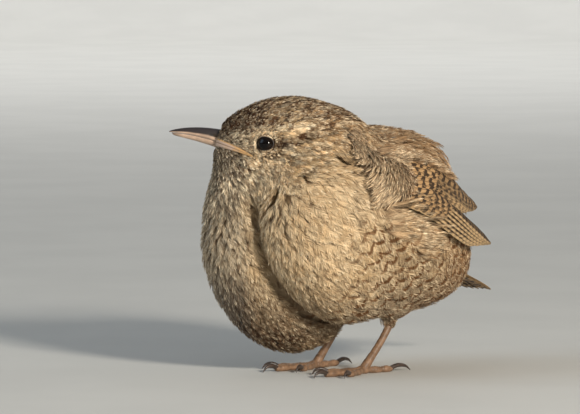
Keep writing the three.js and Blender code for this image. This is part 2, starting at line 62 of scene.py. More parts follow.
# Head
HEAD_CENTRE = np.array((-15.8, 2.5, 52.5))
HEAD_TURN = -42.0
NECK_POINT = np.array((-12.6, 2.3, 49.2))
NECK_TILT = 23.0
NECK_BLEND = 4.8
EYE_RADIUS = 2.1
LID_RADIUS = 1.95
EYE_FORWARD = 2.7
EYE_UP = 1.65
EYE_LOOK_FORWARD = 20.0
EYE_LOOK_UP = 8.0
EYE_SUNK = 0.95
EYE_NARROWING = 1.27
LID_DROP = 0.55
LID_RISE = 0.5
ORBIT_RADIUS = 4.3
ORBIT_DEPTH = 2.0

# Bill
MOUTH_FORWARD = 6.2
MOUTH_UP = -1.6
MOUTH_LENGTH = 18.75
MOUTH_SLOPE = 0.514
MOUTH_CURVE = 0.012
BILL_HALF_WIDTH = 1.75
BILL_TIP_HALF_WIDTH = 0.14
BILL_WIDTH_POWER = 0.8
BILL_START = 0.2
UPPER_BILL = {"depth": 4.1, "power": 0.74, "tip": 0.12, "reach": 1.0}
LOWER_BILL = {"depth": 1.6, "power": 0.35, "tip": 0.08, "reach": 0.965}
MOUTH_GAP = 0.1
GAPE_LIFT = 0.55

# The parting of the breast feathers
FURROW_WIDTH = 1.5
FURROW_DEPTH = 2.2

# The gap between the cheek and the shoulder: dented, kept clear of feathers and painted dark as shade
NECK_GAP = np.array((-12.2, -18.0, 51.6))
NECK_GAP_RADIUS = 2.4
NECK_GAP_DEPTH = 1.3
NECK_GAP_CLEARANCE = 1.7

# The arcs of the shoulder's long barbs: their middle, the way square to them, and how far out they reach
SHOULDER_CENTRE = np.array((-14.4, -18.0, 54.6))
SHOULDER_INWARD = np.array((0.669, 0.743, 0.0))
SHOULDER_REARWARD = np.array((0.743, -0.669, 0.0))
SHOULDER_ANGLES = (-66, -50, -30, -15, 0, 34, 58)
SHOULDER_REACH = (13.0, 15.5, 16.5, 14.5, 12.4, 9.8, 8.8)

# Legs
ANKLE = np.array((12.2, -8.6, 15.2))
FOOT = np.array((1.6, -8.2, 0.8))
TARSUS_RADIUS = 0.85
TOE_AXIS = 0.68
TOES = (
    {"name": "inner", "heading": -26, "length": 9.2, "claw": 3.4, "radius": 0.8},
    {"name": "middle", "heading": 2, "length": 12.4, "claw": 3.8, "radius": 0.9},
    {"name": "outer", "heading": 27, "length": 9.8, "claw": 3.4, "radius": 0.8},
    {"name": "hind", "heading": 172, "length": 7.8, "claw": 5.4, "radius": 0.9},
)

# Tail
TAIL_ROOT = np.array((17.0, 0.0, 30.2))
TAIL_DROOP = 22.4
TAIL_LENGTH = 35.5
TAIL_WIDTH = 4.4
TAIL_FAN = 5.5
TAIL_PAIRS = 6

# Plumage lobes as centre, radii, upright radius of the upper half, pitch and blend
TORSO_LOBES = (
    ((4, 0, 34), (28.5, 25, 22), 22, 10, 0),
    ((-8, -7.9, 35.2), (19.5, 15.6, 25), 19.5, -34, 2.8),
    ((-8.1, 8, 31.4), (22.2, 16.6, 27.6), 19.5, -14, 2.8),
    ((-13.5, 9.6, 39.2), (15.2, 10.8, 11.5), 11.5, -8, 3),
    ((11, 0, 45.5), (19.5, 17, 10.8), 10.8, -7, 5),
    ((22, 0, 27), (16, 15, 12), 12, 22, 8),
)
HEAD_LOBES = (
    ((-2.6, 0, 0.3), (16.6, 9.6, 11.7), 11.7, -2, 0),
    ((-12, 0, -0.4), (10.2, 8.6, 9.8), 9.8, 4, 2),
    ((7.2, 0, 0.2), (6.4, 4.6, 7), 7, 0, 3),
    ((-1.5, 4.4, -4.4), (8.4, 6.2, 6.6), 6.6, -8, 3),
    ((-1.5, -4.4, -4.4), (8.4, 6.2, 6.6), 6.6, -8, 3),
    ((4.6, 0, -8.5), (9.4, 9, 9), 9, 0, 5),
)
TORSO_CENTRE = np.array((3.0, 0.0, 33.0))
UNWRAP_CENTRE = np.array((-3.0, 0.8, 38.0))

# Sheets of the left wing: control points of the upper and the lower edge
COVERT_UPPER = (
    (-11, -19.8, 48),
    (-5, -18.6, 50.6),
    (1, -18, 51.4),
    (8, -18.4, 50.2),
    (16, -18.2, 46.4),
    (25, -15.8, 41.8),
    (33, -12.2, 37.6),
)
COVERT_LOWER = (
    (-11, -21.6, 46),
    (-6, -22.8, 43.8),
    (0, -24, 42.8),
    (8, -24.2, 41.2),
    (16, -21.8, 38.2),
    (25, -17.4, 36.9),
    (32.6, -12.6, 36.8),
)
PRIMARY_UPPER = (
    (-6, -22.8, 45.4),
    (6.5, -23.4, 42),
    (18.5, -21.6, 37),
    (27, -18.6, 33.4),
    (36.2, -13.4, 29),
)
PRIMARY_LOWER = (
    (-6, -23.6, 42.4),
    (5, -25.2, 37.4),
    (14, -24.4, 32.6),
    (24, -20.3, 29.4),
    (35, -14.2, 28),
)
WING_REST = 1.05
WING_FRONT = 0.16
WING_FRONT_DEPTH = -1.2
WING_LEVEL = 3.1

# Rows of the left wing's feathers, each from its lowest feather to its highest. Places are [along, across].
WING_ROWS = (
    {"name": "primaries", "sheet": "primary", "count": 6, "half_width": 1.0, "height": 0.1, "step": 0.16,
     "root": ((0.2, 0.08), (0.26, 0.9)), "tip": ((0.8, 0.1), (0.985, 0.72)),
     "arch": 0.06, "paleness": 0.9, "tone": 1.0},
    {"name": "primary_coverts", "sheet": "primary", "count": 5, "half_width": 1.5, "height": 0.6,
     "root": ((0.04, 0.2), (0.04, 0.9)), "tip": ((0.34, 0.2), (0.42, 0.85)),
     "step": 0.06, "arch": 0.02, "paleness": 0.3, "tone": 1.0},
    {"name": "secondaries", "sheet": "covert", "count": 6, "half_width": 1.75, "height": 0.1, "step": 0.09,
     "root": ((0.3, 0.1), (0.36, 0.56)), "tip": ((0.84, 0.1), (0.985, 0.46)),
     "arch": 0.03, "paleness": 0.5, "tone": 1.0},
    {"name": "tertials", "sheet": "covert", "count": 3, "half_width": 2.2, "height": 0.55, "step": 0.14,
     "root": ((0.34, 0.46), (0.34, 0.72)), "tip": ((0.985, 0.46), (0.76, 0.72)),
     "arch": 0.02, "paleness": 0.1, "tone": 0.68},
    {"name": "greater_coverts", "sheet": "covert", "count": 8, "half_width": 1.6, "height": 0.8,
     "root": ((0.2, 0.08), (0.22, 0.8)), "tip": ((0.5, 0.08), (0.57, 0.78)),
     "step": 0.04, "arch": 0.02, "paleness": 0.0, "tone": 1.0},
    {"name": "median_coverts", "sheet": "covert", "count": 7, "half_width": 1.55, "height": 1.05,
     "root": ((0.17, 0.1), (0.18, 0.74)), "tip": ((0.35, 0.1), (0.39, 0.76)),
     "step": 0.02, "arch": 0.02, "paleness": 0.0, "tone": 1.0},
)

# Feathers of the left shoulder: on the arcs, above the wing, on it and below it
SHOULDER_KINDS = (
    {"lengths": (1.0, 2.0), "first": (0, 0, 0), "last": (0, 0, 0), "start": -0.2, "raised": 0.5,
     "width": 0.7, "dark_kept": 0.2, "dark": 0.0, "cream": 0.12, "grey": 0.5, "rufous": 0.2, "bars": 0.0},
    {"lengths": (4.5, 7.0), "first": (1, 0, -0.3), "last": (1, 0, -0.45), "start": -1.2, "raised": 0.0,
     "width": 1.0, "dark_kept": 1.0, "dark": 0.3, "cream": 0.0, "grey": 0.35, "rufous": 0.4, "bars": 0.3},
    {"lengths": (3.6, 5.0), "first": (1, 0, -0.35), "last": (1, 0, -0.45), "start": 0.6, "raised": -0.3,
     "width": 1.0, "dark_kept": 1.0, "dark": 0.15, "cream": 0.0, "grey": 0.3, "rufous": 0.5, "bars": 0.5},
    {"lengths": (6.5, 9.5), "first": (0.9, 0, -0.45), "last": (1, 0, -0.1), "start": -0.8, "raised": 0.0,
     "width": 1.0, "dark_kept": 1.0, "dark": 0.1, "cream": 0.0, "grey": 0.35, "rufous": 0.2, "bars": 0.5},
)
BELOW_WING = np.array(((-7.0, -24.0, 39.0), (4.0, -25.0, 31.5)))

# Lines on the side of the head, as forward and up of its centre
BROW = ((9.5, 3.0), (6.5, 3.3), (3.8, 3.8), (1.1, 4.1), (-2, 4.7), (-7.4, 5.1))
EYE_STRIPE = ((0.4, 1.0), (-3, 1.2), (-7.5, 2.4))
EAR_LINE = ((-3.6, -0.9), (-6.4, -2.3))
CHEEK_LINE = ((-1, -2.4), (-5, -4))

UP = np.array((0.0, 0.0, 1.0))
MIRRORED = (1, -1, 1)
BAKE_MAP = "OFBake"
BAKE_PATCH = 0.003


# Small vector helpers


def unit(vectors):
    return vectors / np.maximum(np.linalg.norm(vectors, axis=-1, keepdims=True), 1e-9)


def mix(a, b, share):
    return a + (b - a) * share


def smoothstep(value, low, high):
    share = np.clip((value - low) / (high - low), 0, 1)
    return share * share * (3 - 2 * share)


def turn_z(degrees):
    c, s = math.cos(math.radians(degrees)), math.sin(math.radians(degrees))
    return np.array(((c, -s, 0), (s, c, 0), (0, 0, 1)))


def turn_y(degrees):
    c, s = math.cos(math.radians(degrees)), math.sin(math.radians(degrees))
    return np.array(((c, 0, s), (0, 1, 0), (-s, 0, c)))


def across_plane(vectors, normals):
    """The part of each vector that lies in the plane of its normal."""
    return vectors - np.sum(vectors * normals, axis=-1, keepdims=True) * normals


# The plumage's surface


def head_direction(forward, left, up):
    return turn_z(HEAD_TURN) @ np.array((-forward, -left, up), float)


def head_point(forward, left, up):
    return HEAD_CENTRE + head_direction(forward, left, up)


def head_places(points):
    """Forward, left and up of the head's centre for every point."""
    local = (points - HEAD_CENTRE) @ turn_z(HEAD_TURN)
    return -local[..., 0], -local[..., 1], local[..., 2]


def prepared(lobe, in_head):
    centre, radii, crest, pitch, blend = lobe
    spin = turn_y(pitch)
    if in_head:
        centre = head_point(*centre)
        spin = turn_z(HEAD_TURN) @ spin
    lower = np.array(radii, float)
    return np.array(centre, float), lower, np.array((radii[0], radii[1], crest), float), spin, blend


TORSO_FIELD = [prepared(lobe, False) for lobe in TORSO_LOBES]
HEAD_FIELD = [prepared(lobe, True) for lobe in HEAD_LOBES]


def lobe_distance(points, lobe):
    centre, lower, upper, spin, _ = lobe
    local = (points - centre) @ spin
    radii = np.where(local[..., 2:3] > 0, upper, lower)
    local = local / radii
    scaled = np.linalg.norm(local, axis=-1)
    steepness = np.linalg.norm(local / radii, axis=-1)
    return scaled * (scaled - 1) / np.maximum(steepness, 1e-9)


def smooth_min(a, b, blend):
    share = np.clip(0.5 + 0.5 * (b - a) / blend, 0, 1)
    return a * share + b * (1 - share) - blend * share * (1 - share)


def union_distance(points, field):
    distance = lobe_distance(points, field[0])
    for lobe in field[1:]:
        distance = smooth_min(distance, lobe_distance(points, lobe), lobe[4])
    return distance


def torso_distance(points):
    return union_distance(points, TORSO_FIELD)


def head_distance(points):
    return union_distance(points, HEAD_FIELD)


def body_distance(points):
    return smooth_min(torso_distance(points), head_distance(points), NECK_BLEND)


def exits(origin, directions, distance, reach=75.0):
    """Where rays from one or more points inside leave a surface, found by halving."""
    origin, directions = np.broadcast_arrays(origin, directions)
    inside = np.zeros(len(directions))
    outside = np.full(len(directions), reach)
    for _ in range(24):
        middle = (inside + outside) / 2
        within = distance(origin + directions * middle[:, None]) < 0
        inside = np.where(within, middle, inside)
        outside = np.where(within, outside, middle)
    return origin + directions * inside[:, None]


def eye_outward(side):
    look = math.radians(EYE_LOOK_FORWARD)
    lift = math.sin(math.radians(EYE_LOOK_UP))
    return unit(head_direction(math.sin(look), side * math.cos(look), lift))


def eye_centre(side):
    inside = head_point(EYE_FORWARD, 0, EYE_UP)
    exit_point = exits(inside, head_direction(0, side, 0)[None], head_distance)[0]
    return exit_point - eye_outward(side) * EYE_SUNK


SIDES = {"left": 1, "right": -1}
EYES = {side: (eye_centre(sign), eye_outward(sign)) for side, sign in SIDES.items()}
LOW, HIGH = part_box("left_eye")
MILLIMETRE = 0.001
SHIFT = np.array((LOW + HIGH) / 2) / MILLIMETRE - EYES["left"][0]


def place(points):
    return (np.asarray(points) + SHIFT) * MILLIMETRE


def basis(direction):
    """Two unit vectors square to a direction, and the direction itself, as rows."""
    first = unit(np.cross(UP, direction))
    return np.array((first, np.cross(direction, first), direction))


def orbit_lobe(side):
    centre, outward = EYES[side]
    radii = np.array((ORBIT_RADIUS, ORBIT_RADIUS, ORBIT_DEPTH))
    return centre + outward * (EYE_SUNK + ORBIT_DEPTH - 0.1), radii, radii, basis(outward).T, 0


ORBITS = [orbit_lobe(side) for side in SIDES]

THIGH_STATIONS = (
    (ANKLE + (-6.5, -0.8, 7.5), 5.6),
    (ANKLE + (-2.8, -0.6, 2), 5.0),
    (ANKLE + (-3, 0, -3.6), 1.5),
)


def thigh_distance(points):
    """About how far points lie outside either feathered thigh."""
    points = np.where(points[..., 1:2] > 0, points * MIRRORED, points)
    distance = np.full(points.shape[:-1], 1e3)
    for (start, start_radius), (end, end_radius) in zip(THIGH_STATIONS, THIGH_STATIONS[1:]):
        axis = end - start
        along = np.clip((points - start) @ axis / (axis @ axis), 0, 1)
        reach = np.linalg.norm(points - start - along[..., None] * axis, axis=-1)
        distance = np.minimum(distance, reach - mix(start_radius, end_radius, along))
    return distance


def furrow(points):
    """1 along the parting between the left and the right breast, fading to 0 beside it."""
    left, right = (lobe_distance(points, TORSO_FIELD[k]) for k in (1, 2))
    reach = np.exp(-(((left - right) / FURROW_WIDTH) ** 2)) * np.exp(-((left / 3.0) ** 2))
    x, z = points[..., 0], points[..., 2]
    on_breast = smoothstep(z, 9.0, 18.0) * (1 - smoothstep(z, 36.0, 46.0)) * (1 - smoothstep(x, -2.0, 5.0))
    return reach * on_breast


def from_neck_gap(points):
    """Points as seen from the gap between cheek and shoulder on their side, turned to the left."""
    return points * (1, 0, 1) - np.abs(points) * (0, 1, 0) - NECK_GAP


def neck_gap(points):
    """1 in the gap between cheek and shoulder on either side, fading to 0 round it."""
    return np.exp(-np.sum((from_neck_gap(points) / NECK_GAP_RADIUS) ** 2, axis=-1))


def coat_distance(points):
    """How far points lie outside the feathered outline."""
    distance = smooth_min(body_distance(points), thigh_distance(points), 2.0)
    distance = distance + FURROW_DEPTH * furrow(points) + NECK_GAP_DEPTH * neck_gap(points)
    for orbit in ORBITS:
        distance = -smooth_min(-distance, lobe_distance(points, orbit), 0.6)
    return distance


def gradient(points, distance):
    step = 0.08
    parts = []
    for axis in range(3):
        shift = np.zeros(3)
        shift[axis] = step
        parts.append((distance(points + shift) - distance(points - shift)) / (2 * step))
    return np.stack(parts, axis=-1)


def settled(points, level, distance=coat_distance, rounds=2):
    """Points moved to the given level over the surface, with the surface's outward directions."""
    for _ in range(rounds):
        slope = gradient(points, distance)
        error = distance(points) - level
        points = points - slope * (error / np.maximum(np.sum(slope * slope, axis=-1), 0.05))[..., None]
    return points, unit(slope)


def head_share(points):
    """1 on the head and 0 on the torso."""
    return smoothstep(torso_distance(points) - head_distance(points), -3.5, 4.5)


def eye_reach(points):
    """The distance to the nearer eye's centre."""
    return np.minimum(*[np.linalg.norm(points - centre, axis=-1) for centre, _ in EYES.values()])


BILL_ROOT = head_point(11.5, 0, 0.8)
HEAD_MIDDLE = head_point(-1, 0, -1)


def coat_depth(points):
    """How deep the skin lies under the feathers' outline."""
    depth = mix(2.3, 1.1, head_share(points))
    depth = mix(0.35, depth, smoothstep(eye_reach(points), 2.5, 6.0))
    depth = mix(0.3, depth, smoothstep(np.linalg.norm(points - BILL_ROOT, axis=-1), 3.0, 9.0))
    return np.minimum(depth, mix(0.9, 3.0, smoothstep(thigh_distance(points), 0.5, 4.0)))


# The bill's mouth line and outline


def bill_half_width(along):
    return BILL_TIP_HALF_WIDTH + BILL_HALF_WIDTH * np.maximum(1 - along, 0) ** BILL_WIDTH_POWER


def bill_points(along, left, up):
    """Points along the mouth line, to the left of it and above it."""
    reach = np.asarray(along) * MOUTH_LENGTH
    climb = MOUTH_SLOPE * reach - MOUTH_CURVE * reach**2
    places = np.broadcast_arrays(-(MOUTH_FORWARD + reach), -np.asarray(left), MOUTH_UP + climb + up)
    return HEAD_CENTRE + np.stack(places, axis=-1) @ turn_z(HEAD_TURN).T


def in_bill(points, margin):
    """Whether points lie inside the bill, widened by a margin."""
    forward, left, up = head_places(points)
    reach = np.clip(forward - MOUTH_FORWARD, 0, MOUTH_LENGTH)
    along = reach / MOUTH_LENGTH
    above = up - (MOUTH_UP + MOUTH_SLOPE * reach - MOUTH_CURVE * reach**2)
    top = UPPER_BILL["depth"] * (1 - along) ** UPPER_BILL["power"] + margin
    bottom = -LOWER_BILL["depth"] * (1 - along) ** LOWER_BILL["power"] - margin
    inside = (np.abs(left) < bill_half_width(along) + margin) & (above < top) & (above > bottom)
    return inside & (forward > MOUTH_FORWARD + BILL_START * MOUTH_LENGTH)


# The wing's sheets


def spline(points, places):
    """A centripetal Catmull-Rom curve through points, read at places from 0 to 1."""
    points = np.array(points, float)
    first = 2 * points[0] - points[1]
    last = 2 * points[-1] - points[-2]
    padded = np.vstack((first, points, last))
    scaled = np.clip(np.asarray(places, float), 0, 1) * (len(points) - 1)
    index = np.minimum(scaled.astype(int), len(points) - 2)
    weight = (scaled - index)[..., None]
    p0, p1, p2, p3 = (padded[index + k] for k in range(4))
    legs = (p1 - p0, p2 - p1, p3 - p2)
    d0, d1, d2 = (np.maximum(np.sqrt(np.linalg.norm(leg, axis=-1, keepdims=True)), 1e-4) for leg in legs)
    t1 = ((p1 - p0) / d0 - (p2 - p0) / (d0 + d1) + (p2 - p1) / d1) * d1
    t2 = ((p2 - p1) / d1 - (p3 - p1) / (d1 + d2) + (p3 - p2) / d2) * d1
    c2 = -3 * p1 + 3 * p2 - 2 * t1 - t2
    c3 = 2 * p1 - 2 * p2 + t1 + t2
    return p1 + t1 * weight + c2 * weight**2 + c3 * weight**3


class WingSheet:
    """A curved sheet between an upper and a lower edge, draped over the plumage."""

    def __init__(self, upper, lower, bulge):
        self.upper, self.lower, self.bulge = upper, lower, bulge

    def flat(self, along, across):
        return mix(spline(self.lower, along), spline(self.upper, along), np.asarray(across)[..., None])

    def outward(self, along, across):
        step = 0.02
        start = np.clip(along, step, 1 - step)
        lengthways = self.flat(start + step, across) - self.flat(start - step, across)
        widthways = spline(self.upper, start) - spline(self.lower, start)
        return unit(np.cross(lengthways, widthways))

    def point(self, along, across, height=0.0):
        along, across, height = np.broadcast_arrays(along, across, height)
        out = self.outward(along, across)
        points = self.flat(along, across) + out * (self.bulge * 4 * across * (1 - across))[..., None]
        rise = smoothstep(along, 0, WING_FRONT)
        sunk = mix(WING_FRONT_DEPTH, WING_REST, rise) - body_distance(points)
        return points + out * (height * rise - smooth_min(-sunk, 0.0, 1.0))[..., None]

    def normal(self, along, across):
        step = 0.03
        a, c = np.clip(along, step, 1 - step), np.clip(across, step, 1 - step)
        lengthways = self.point(a + step, c) - self.point(a - step, c)
        widthways = self.point(a, c + step) - self.point(a, c - step)
        return unit(np.cross(lengthways, widthways))


SHEETS = {
    "covert": WingSheet(COVERT_UPPER, COVERT_LOWER, 0.4),
    "primary": WingSheet(PRIMARY_UPPER, PRIMARY_LOWER, 0.3),
}


def wing_level(points):
    """How high the folded wing's feathers stand over the plumage at each point, 0 beside the wing."""
    upper, lower = (np.array(edge, float) for edge in (COVERT_UPPER, PRIMARY_LOWER))
    x, z = points[..., 0], points[..., 2]
    top = np.interp(x, upper[:, 0], upper[:, 2])
    bottom = np.interp(x, lower[:, 0], lower[:, 2])
    inside = smoothstep(z, bottom - 1.2, bottom + 1.0) * (1 - smoothstep(z, top - 0.2, top + 3.0))
    ahead = smoothstep(x, -13.0, -2.0) * smoothstep(np.abs(points[..., 1]), 8.0, 12.0)
    return WING_LEVEL * inside * ahead


# Markings of skin and coat


def side_places(points):
    """Forward and up of the head's centre as seen from its side, a little above."""
    forward, left, up = head_places(points)
    return forward, up - 0.07 * np.abs(left)


def band(points, stations, half_width, soft):
    """1 along a line on the side of the head given as (forward, up) stations, fading at its edges."""
    forward, up = side_places(points)
    stations = np.array(stations, float)
    nearest = np.full(forward.shape, 1e3)
    for (f0, u0), (f1, u1) in zip(stations, stations[1:]):
        axis = np.array((f1 - f0, u1 - u0))
        along = np.clip(((forward - f0) * axis[0] + (up - u0) * axis[1]) / (axis @ axis), 0, 1)
        nearest = np.minimum(nearest, np.hypot(forward - f0 - along * axis[0], up - u0 - along * axis[1]))
    return 1 - smoothstep(nearest, half_width - soft, half_width + soft)


def spot(points, centre, radii):
    """1 at a place, fading to 0 at the given radii."""
    return np.exp(-np.sum(((points - np.array(centre)) / np.array(radii)) ** 2, axis=-1))


def head_spot(points, forward, up, forward_radius, up_radius):
    f, u = side_places(points)
    return np.exp(-(((f - forward) / forward_radius) ** 2) - ((u - up) / up_radius) ** 2)


def markings(points, normals):
    """The marks and the patterns of points of the bird.

    The marks are shares of dark, cream, grey and rufous, the patterns the strength of bars and flecks. Part
    of the dark and the grey is painted shade: in the breast's parting, in the gap between cheek and
    shoulder, low under the body, and on the right side of throat and breast, which faces away from the key
    light."""
    forward, _, up = head_places(points)
    on_head = head_share(points)
    on_torso = 1 - on_head
    upward = normals[..., 2]
    x, y, z = points[..., 0], points[..., 1], points[..., 2]
    eye_gap = eye_reach(points)

    brow = band(points, BROW, 0.8, 0.45) * mix(0.45, 1.0, smoothstep(-forward, -4.0, 1.0))
    stripe = band(points, EYE_STRIPE, 1.15, 0.7)
    cheek_lines = band(points, EAR_LINE, 0.4, 0.3) + band(points, CHEEK_LINE, 0.35, 0.3)
    cap = smoothstep(up + 0.1 * forward, 3.6, 6.6) * on_head
    nape = smoothstep(-forward, 3, 11) * on_head
    eye_ring = smoothstep(eye_gap, 2.25, 2.5) * (1 - smoothstep(eye_gap, 2.8, 3.4)) * on_head
    eye_rim = (1 - smoothstep(eye_gap, 2.25, 2.5)) * on_head
    ears = head_spot(points, -3.6, -1.2, 4.2, 2.8) * on_head
    malar = head_spot(points, 6.0, -4.4, 3.6, 3.0) * on_head
    lores = head_spot(points, 8.0, 1.2, 2.4, 1.5) * on_head
    throat = head_spot(points, 5, -9, 7, 6) * on_head
    lower_cheek = head_spot(points, -3, -6, 5, 1.8) * on_head

    back = smoothstep(upward, 0.1, 0.65) * on_torso * smoothstep(x, -8, 2)
    rear = smoothstep(x, 8, 26) * (1 - back)
    # The lower belly's own dusky colour, which also serves as painted shade under the body
    low = (1 - smoothstep(z, 12, 27)) * on_torso
    side = (1 - smoothstep(upward, 0.0, 0.6)) * on_torso * smoothstep(z, 8, 14)
    flank = side * smoothstep(x, -12, 2)
    # Painted shade on the lower right breast, which faces away from the key light
    right_breast_painted_shade = (1 - smoothstep(z, 16, 26)) * on_torso * smoothstep(-x, 6, 12) * smoothstep(y, -8, 2)
    # Painted shade, in grey, on the right side of throat and breast, which faces away from the key light
    painted_cool_shade = smoothstep(y - 0.9 * x, 20, 29) * (1 - smoothstep(upward, 0.3, 0.8))
    breast = smoothstep(-x, 0, 16) * (1 - smoothstep(upward, 0.1, 0.6)) * on_torso * smoothstep(z, 12, 26)
    shoulder = np.maximum(spot(points, (-9, -21, 42), (8, 8, 8)), spot(points, (-9, 21, 42), (8, 8, 8)))

    dark = cap * mix(0.42, 0.82, smoothstep(forward, -9, 5)) + 0.72 * stripe * on_head
    dark = dark + 0.42 * ears + 0.18 * nape + 0.15 * malar
    dark = dark + 0.34 * back + 0.28 * rear * (1 - smoothstep(z, 18, 34))
    # The darkening of the torso below about 15 mm is painted shade under the body
    dark = dark + 0.15 * low * smoothstep(np.abs(y), 16, 2) + 0.35 * (1 - smoothstep(z, 7, 15)) * on_torso
    # All three terms are painted shade: in the gap between cheek and shoulder, along the breast's parting
    # and on the lower right breast
    dark = dark + 0.9 * neck_gap(points) + 0.6 * furrow(points) + 0.3 * right_breast_painted_shade
    cream = (0.95 * brow + 0.5 * cheek_lines) * on_head + 0.9 * eye_ring + 0.6 * lores
    cream = cream + 0.7 * throat + 0.24 * breast
    dark = dark * (1 - 0.85 * np.clip(cream, 0, 1)) + 0.9 * eye_rim
    grey = 0.35 * shoulder + 0.45 * low + 0.15 * back + 0.3 * flank + 0.7 * painted_cool_shade
    rufous = 0.5 * back + 0.55 * rear + 0.5 * nape * (1 - stripe) + 0.4 * lower_cheek
    bars = side * smoothstep(x, -20, -7) * (1 - smoothstep(z, 33, 42)) + 0.35 * rear + 0.2 * back
    flecks = 0.6 + 0.4 * malar + 0.4 * ears + 0.3 * cap + 0.3 * (1 - smoothstep(z, 24, 34))
    marks = np.stack((dark, cream, grey, rufous), axis=-1)
    return np.clip(marks, 0, 1), np.clip(np.stack((bars, flecks), axis=-1), 0, 1)


# Meshes


def add_piece(name, points, faces, material, replaces=()):
    """A mesh object from points in millimetres and faces of three or four corners."""
    mesh = bpy.data.meshes.new(name)
    faces = np.asarray(faces, np.int32)
    corners = faces.shape[1]
    mesh.vertices.add(len(points))
    mesh.vertices.foreach_set("co", place(points).astype(np.float32).ravel())
    mesh.loops.add(faces.size)
    mesh.loops.foreach_set("vertex_index", faces.ravel())
    mesh.polygons.add(len(faces))
    mesh.polygons.foreach_set("loop_start", np.arange(0, faces.size, corners, dtype=np.int32))
    mesh.update(calc_edges=True)
    mesh.polygons.foreach_set("use_smooth", np.full(len(faces), True))
    mesh.validate()
    piece = bpy.data.objects.new(name, mesh)
    bpy.context.scene.collection.objects.link(piece)
    finish_piece(piece, material, replaces)
    return piece


def finish_piece(piece, material, replaces=()):
    piece.data.materials.clear()
    piece.data.materials.append(material)
    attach(piece, "root")
    if replaces:
        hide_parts(*replaces)


def add_values(mesh, name, kind, values):
    """Stores a value for every vertex under a name that the materials read."""
    attribute = mesh.attributes.new(name, kind, "POINT")
    field = {"FLOAT": "value", "FLOAT_COLOR": "color"}[kind]
    attribute.data.foreach_set(field, np.asarray(values, np.float32).ravel())


def add_channels(mesh, name, *channels):
    """Stores four numbers for every vertex as one colour."""
    add_values(mesh, name, "FLOAT_COLOR", np.stack(np.broadcast_arrays(*channels), axis=-1))


def add_bake_map(mesh, places):
    layer = mesh.uv_layers.new(name=BAKE_MAP)
    corner = np.empty(len(mesh.loops), np.int32)
    mesh.loops.foreach_get("vertex_index", corner)
    layer.data.foreach_set("uv", np.asarray(places, np.float32)[corner].ravel())


def skin_map(points):
    """Where points of the skin lie on its unwrap: an equal-area disc for each side of the bird."""
    ray = unit(points - UNWRAP_CENTRE)
    side = np.where(ray[..., 1] < 0, -1.0, 1.0)
    tilt = np.sqrt(np.clip((1 - side * ray[..., 1]) / 2, 0, 1)) / math.sin(math.pi / 4)
    spread = np.maximum(np.hypot(ray[..., 0], ray[..., 2]), 1e-9)
    u = 0.5 + 0.25 * side + 0.235 * tilt * ray[..., 0] / spread
    v = 0.5 + 0.47 * tilt * ray[..., 2] / spread
    return np.stack((u, v), axis=-1)


def sphere_directions(count, random):
    """Directions spread evenly over a sphere, each shaken a little."""
    index = np.arange(count) + 0.5
    height = 1 - 2 * index / count
    angle = math.pi * (1 + math.sqrt(5)) * index
    reach = np.sqrt(1 - height**2)
    rays = np.stack((reach * np.cos(angle), reach * np.sin(angle), height), axis=-1)
    return unit(rays + random.normal(0, 0.5 / math.sqrt(count), rays.shape))


def joined_parts(parts):
    """The points and faces of several parts as those of one."""
    starts = np.cumsum([0] + [len(points) for points, _ in parts])
    points = np.vstack([points for points, _ in parts])
    return points, np.vstack([faces + start for (_, faces), start in zip(parts, starts)])


def scattered(centre, distance, density, candidates, random):
    """Roots over a star-shaped surface, with density(points) of them to a square millimetre."""
    rays = sphere_directions(candidates, random)
    points = exits(centre, rays, distance)
    facing = np.maximum(np.sum(rays * unit(gradient(points, distance)), axis=-1), 0.15)
    area = np.sum((points - centre) ** 2, axis=-1) / facing * (4 * math.pi / candidates)
    return points[random.random(candidates) < area * density(points)]


def spaced(points, gaps, random):
    """The numbers of points that are left when each one keeps a gap of its own clear round it."""
    tree = KDTree(len(points))
    for number, point in enumerate(points):
        tree.insert(point, number)
    tree.balance()
    free = np.ones(len(points), bool)
    kept = []
    for number in random.permutation(len(points)):
        if free[number]:
            kept.append(number)
            free[[found for _, found, _ in tree.find_range(points[number], gaps[number])]] = False
    return np.array(kept)


def neck_side(points):
    """Above zero on the head's side of the neck."""
    lean = math.radians(NECK_TILT)
    return (points - NECK_POINT) @ head_direction(math.sin(lean), 0, math.cos(lean))


# Feathers of the coat

TORSO_STREAM = np.array((0.7, 0.0, -0.7))
BELLY_STREAM = np.array((0.9, 0.0, -0.35))
FLOW_SOURCE = head_point(13.0, 0, 1.4)


def coat_flow(points, normals):
    """The lie of the coat: back from the bill on the head, down and back over the body."""
    stream = mix(TORSO_STREAM, BELLY_STREAM, smoothstep(-normals[..., 2:3], 0.2, 0.9))
    inwards = -np.sign(points[..., 1:2]) * np.array((0.0, 1.0, 0.0))
    stream = stream + inwards * 0.35 * smoothstep(points[..., 0:1], 10, 28)
    body = unit(across_plane(stream, normals))
    away = points - FLOW_SOURCE
    head = across_plane(unit(away), normals)
    for centre, _ in EYES.values():
        from_eye = across_plane(points - centre, normals)
        gap = np.linalg.norm(points - centre, axis=-1, keepdims=True)
        head = head + unit(from_eye) * 1.6 * np.exp(-np.maximum(gap - 2.1, 0) / 0.9) * (gap < 8)
    share = head_share(points)[..., None]
    return unit(mix(body, unit(head), share))


def grow_paths(roots, lengths, start_level, end_level, flow, stations=6, distance=coat_distance):
    """Middle lines of feathers: along the flow, rising from one level over the surface to another."""
    points, normals = settled(roots, start_level, distance)
    path, outward = [points], [normals]
    for station in range(1, stations):
        share = station / (stations - 1)
        heading = flow(points, normals, share)
        points = points + heading * (lengths / (stations - 1))[:, None]
        level = mix(start_level, end_level(points), share**0.8)
        points, normals = settled(points, level, distance, 1)
        path.append(points)
        outward.append(normals)
    return np.stack(path, axis=1), np.stack(outward, axis=1)


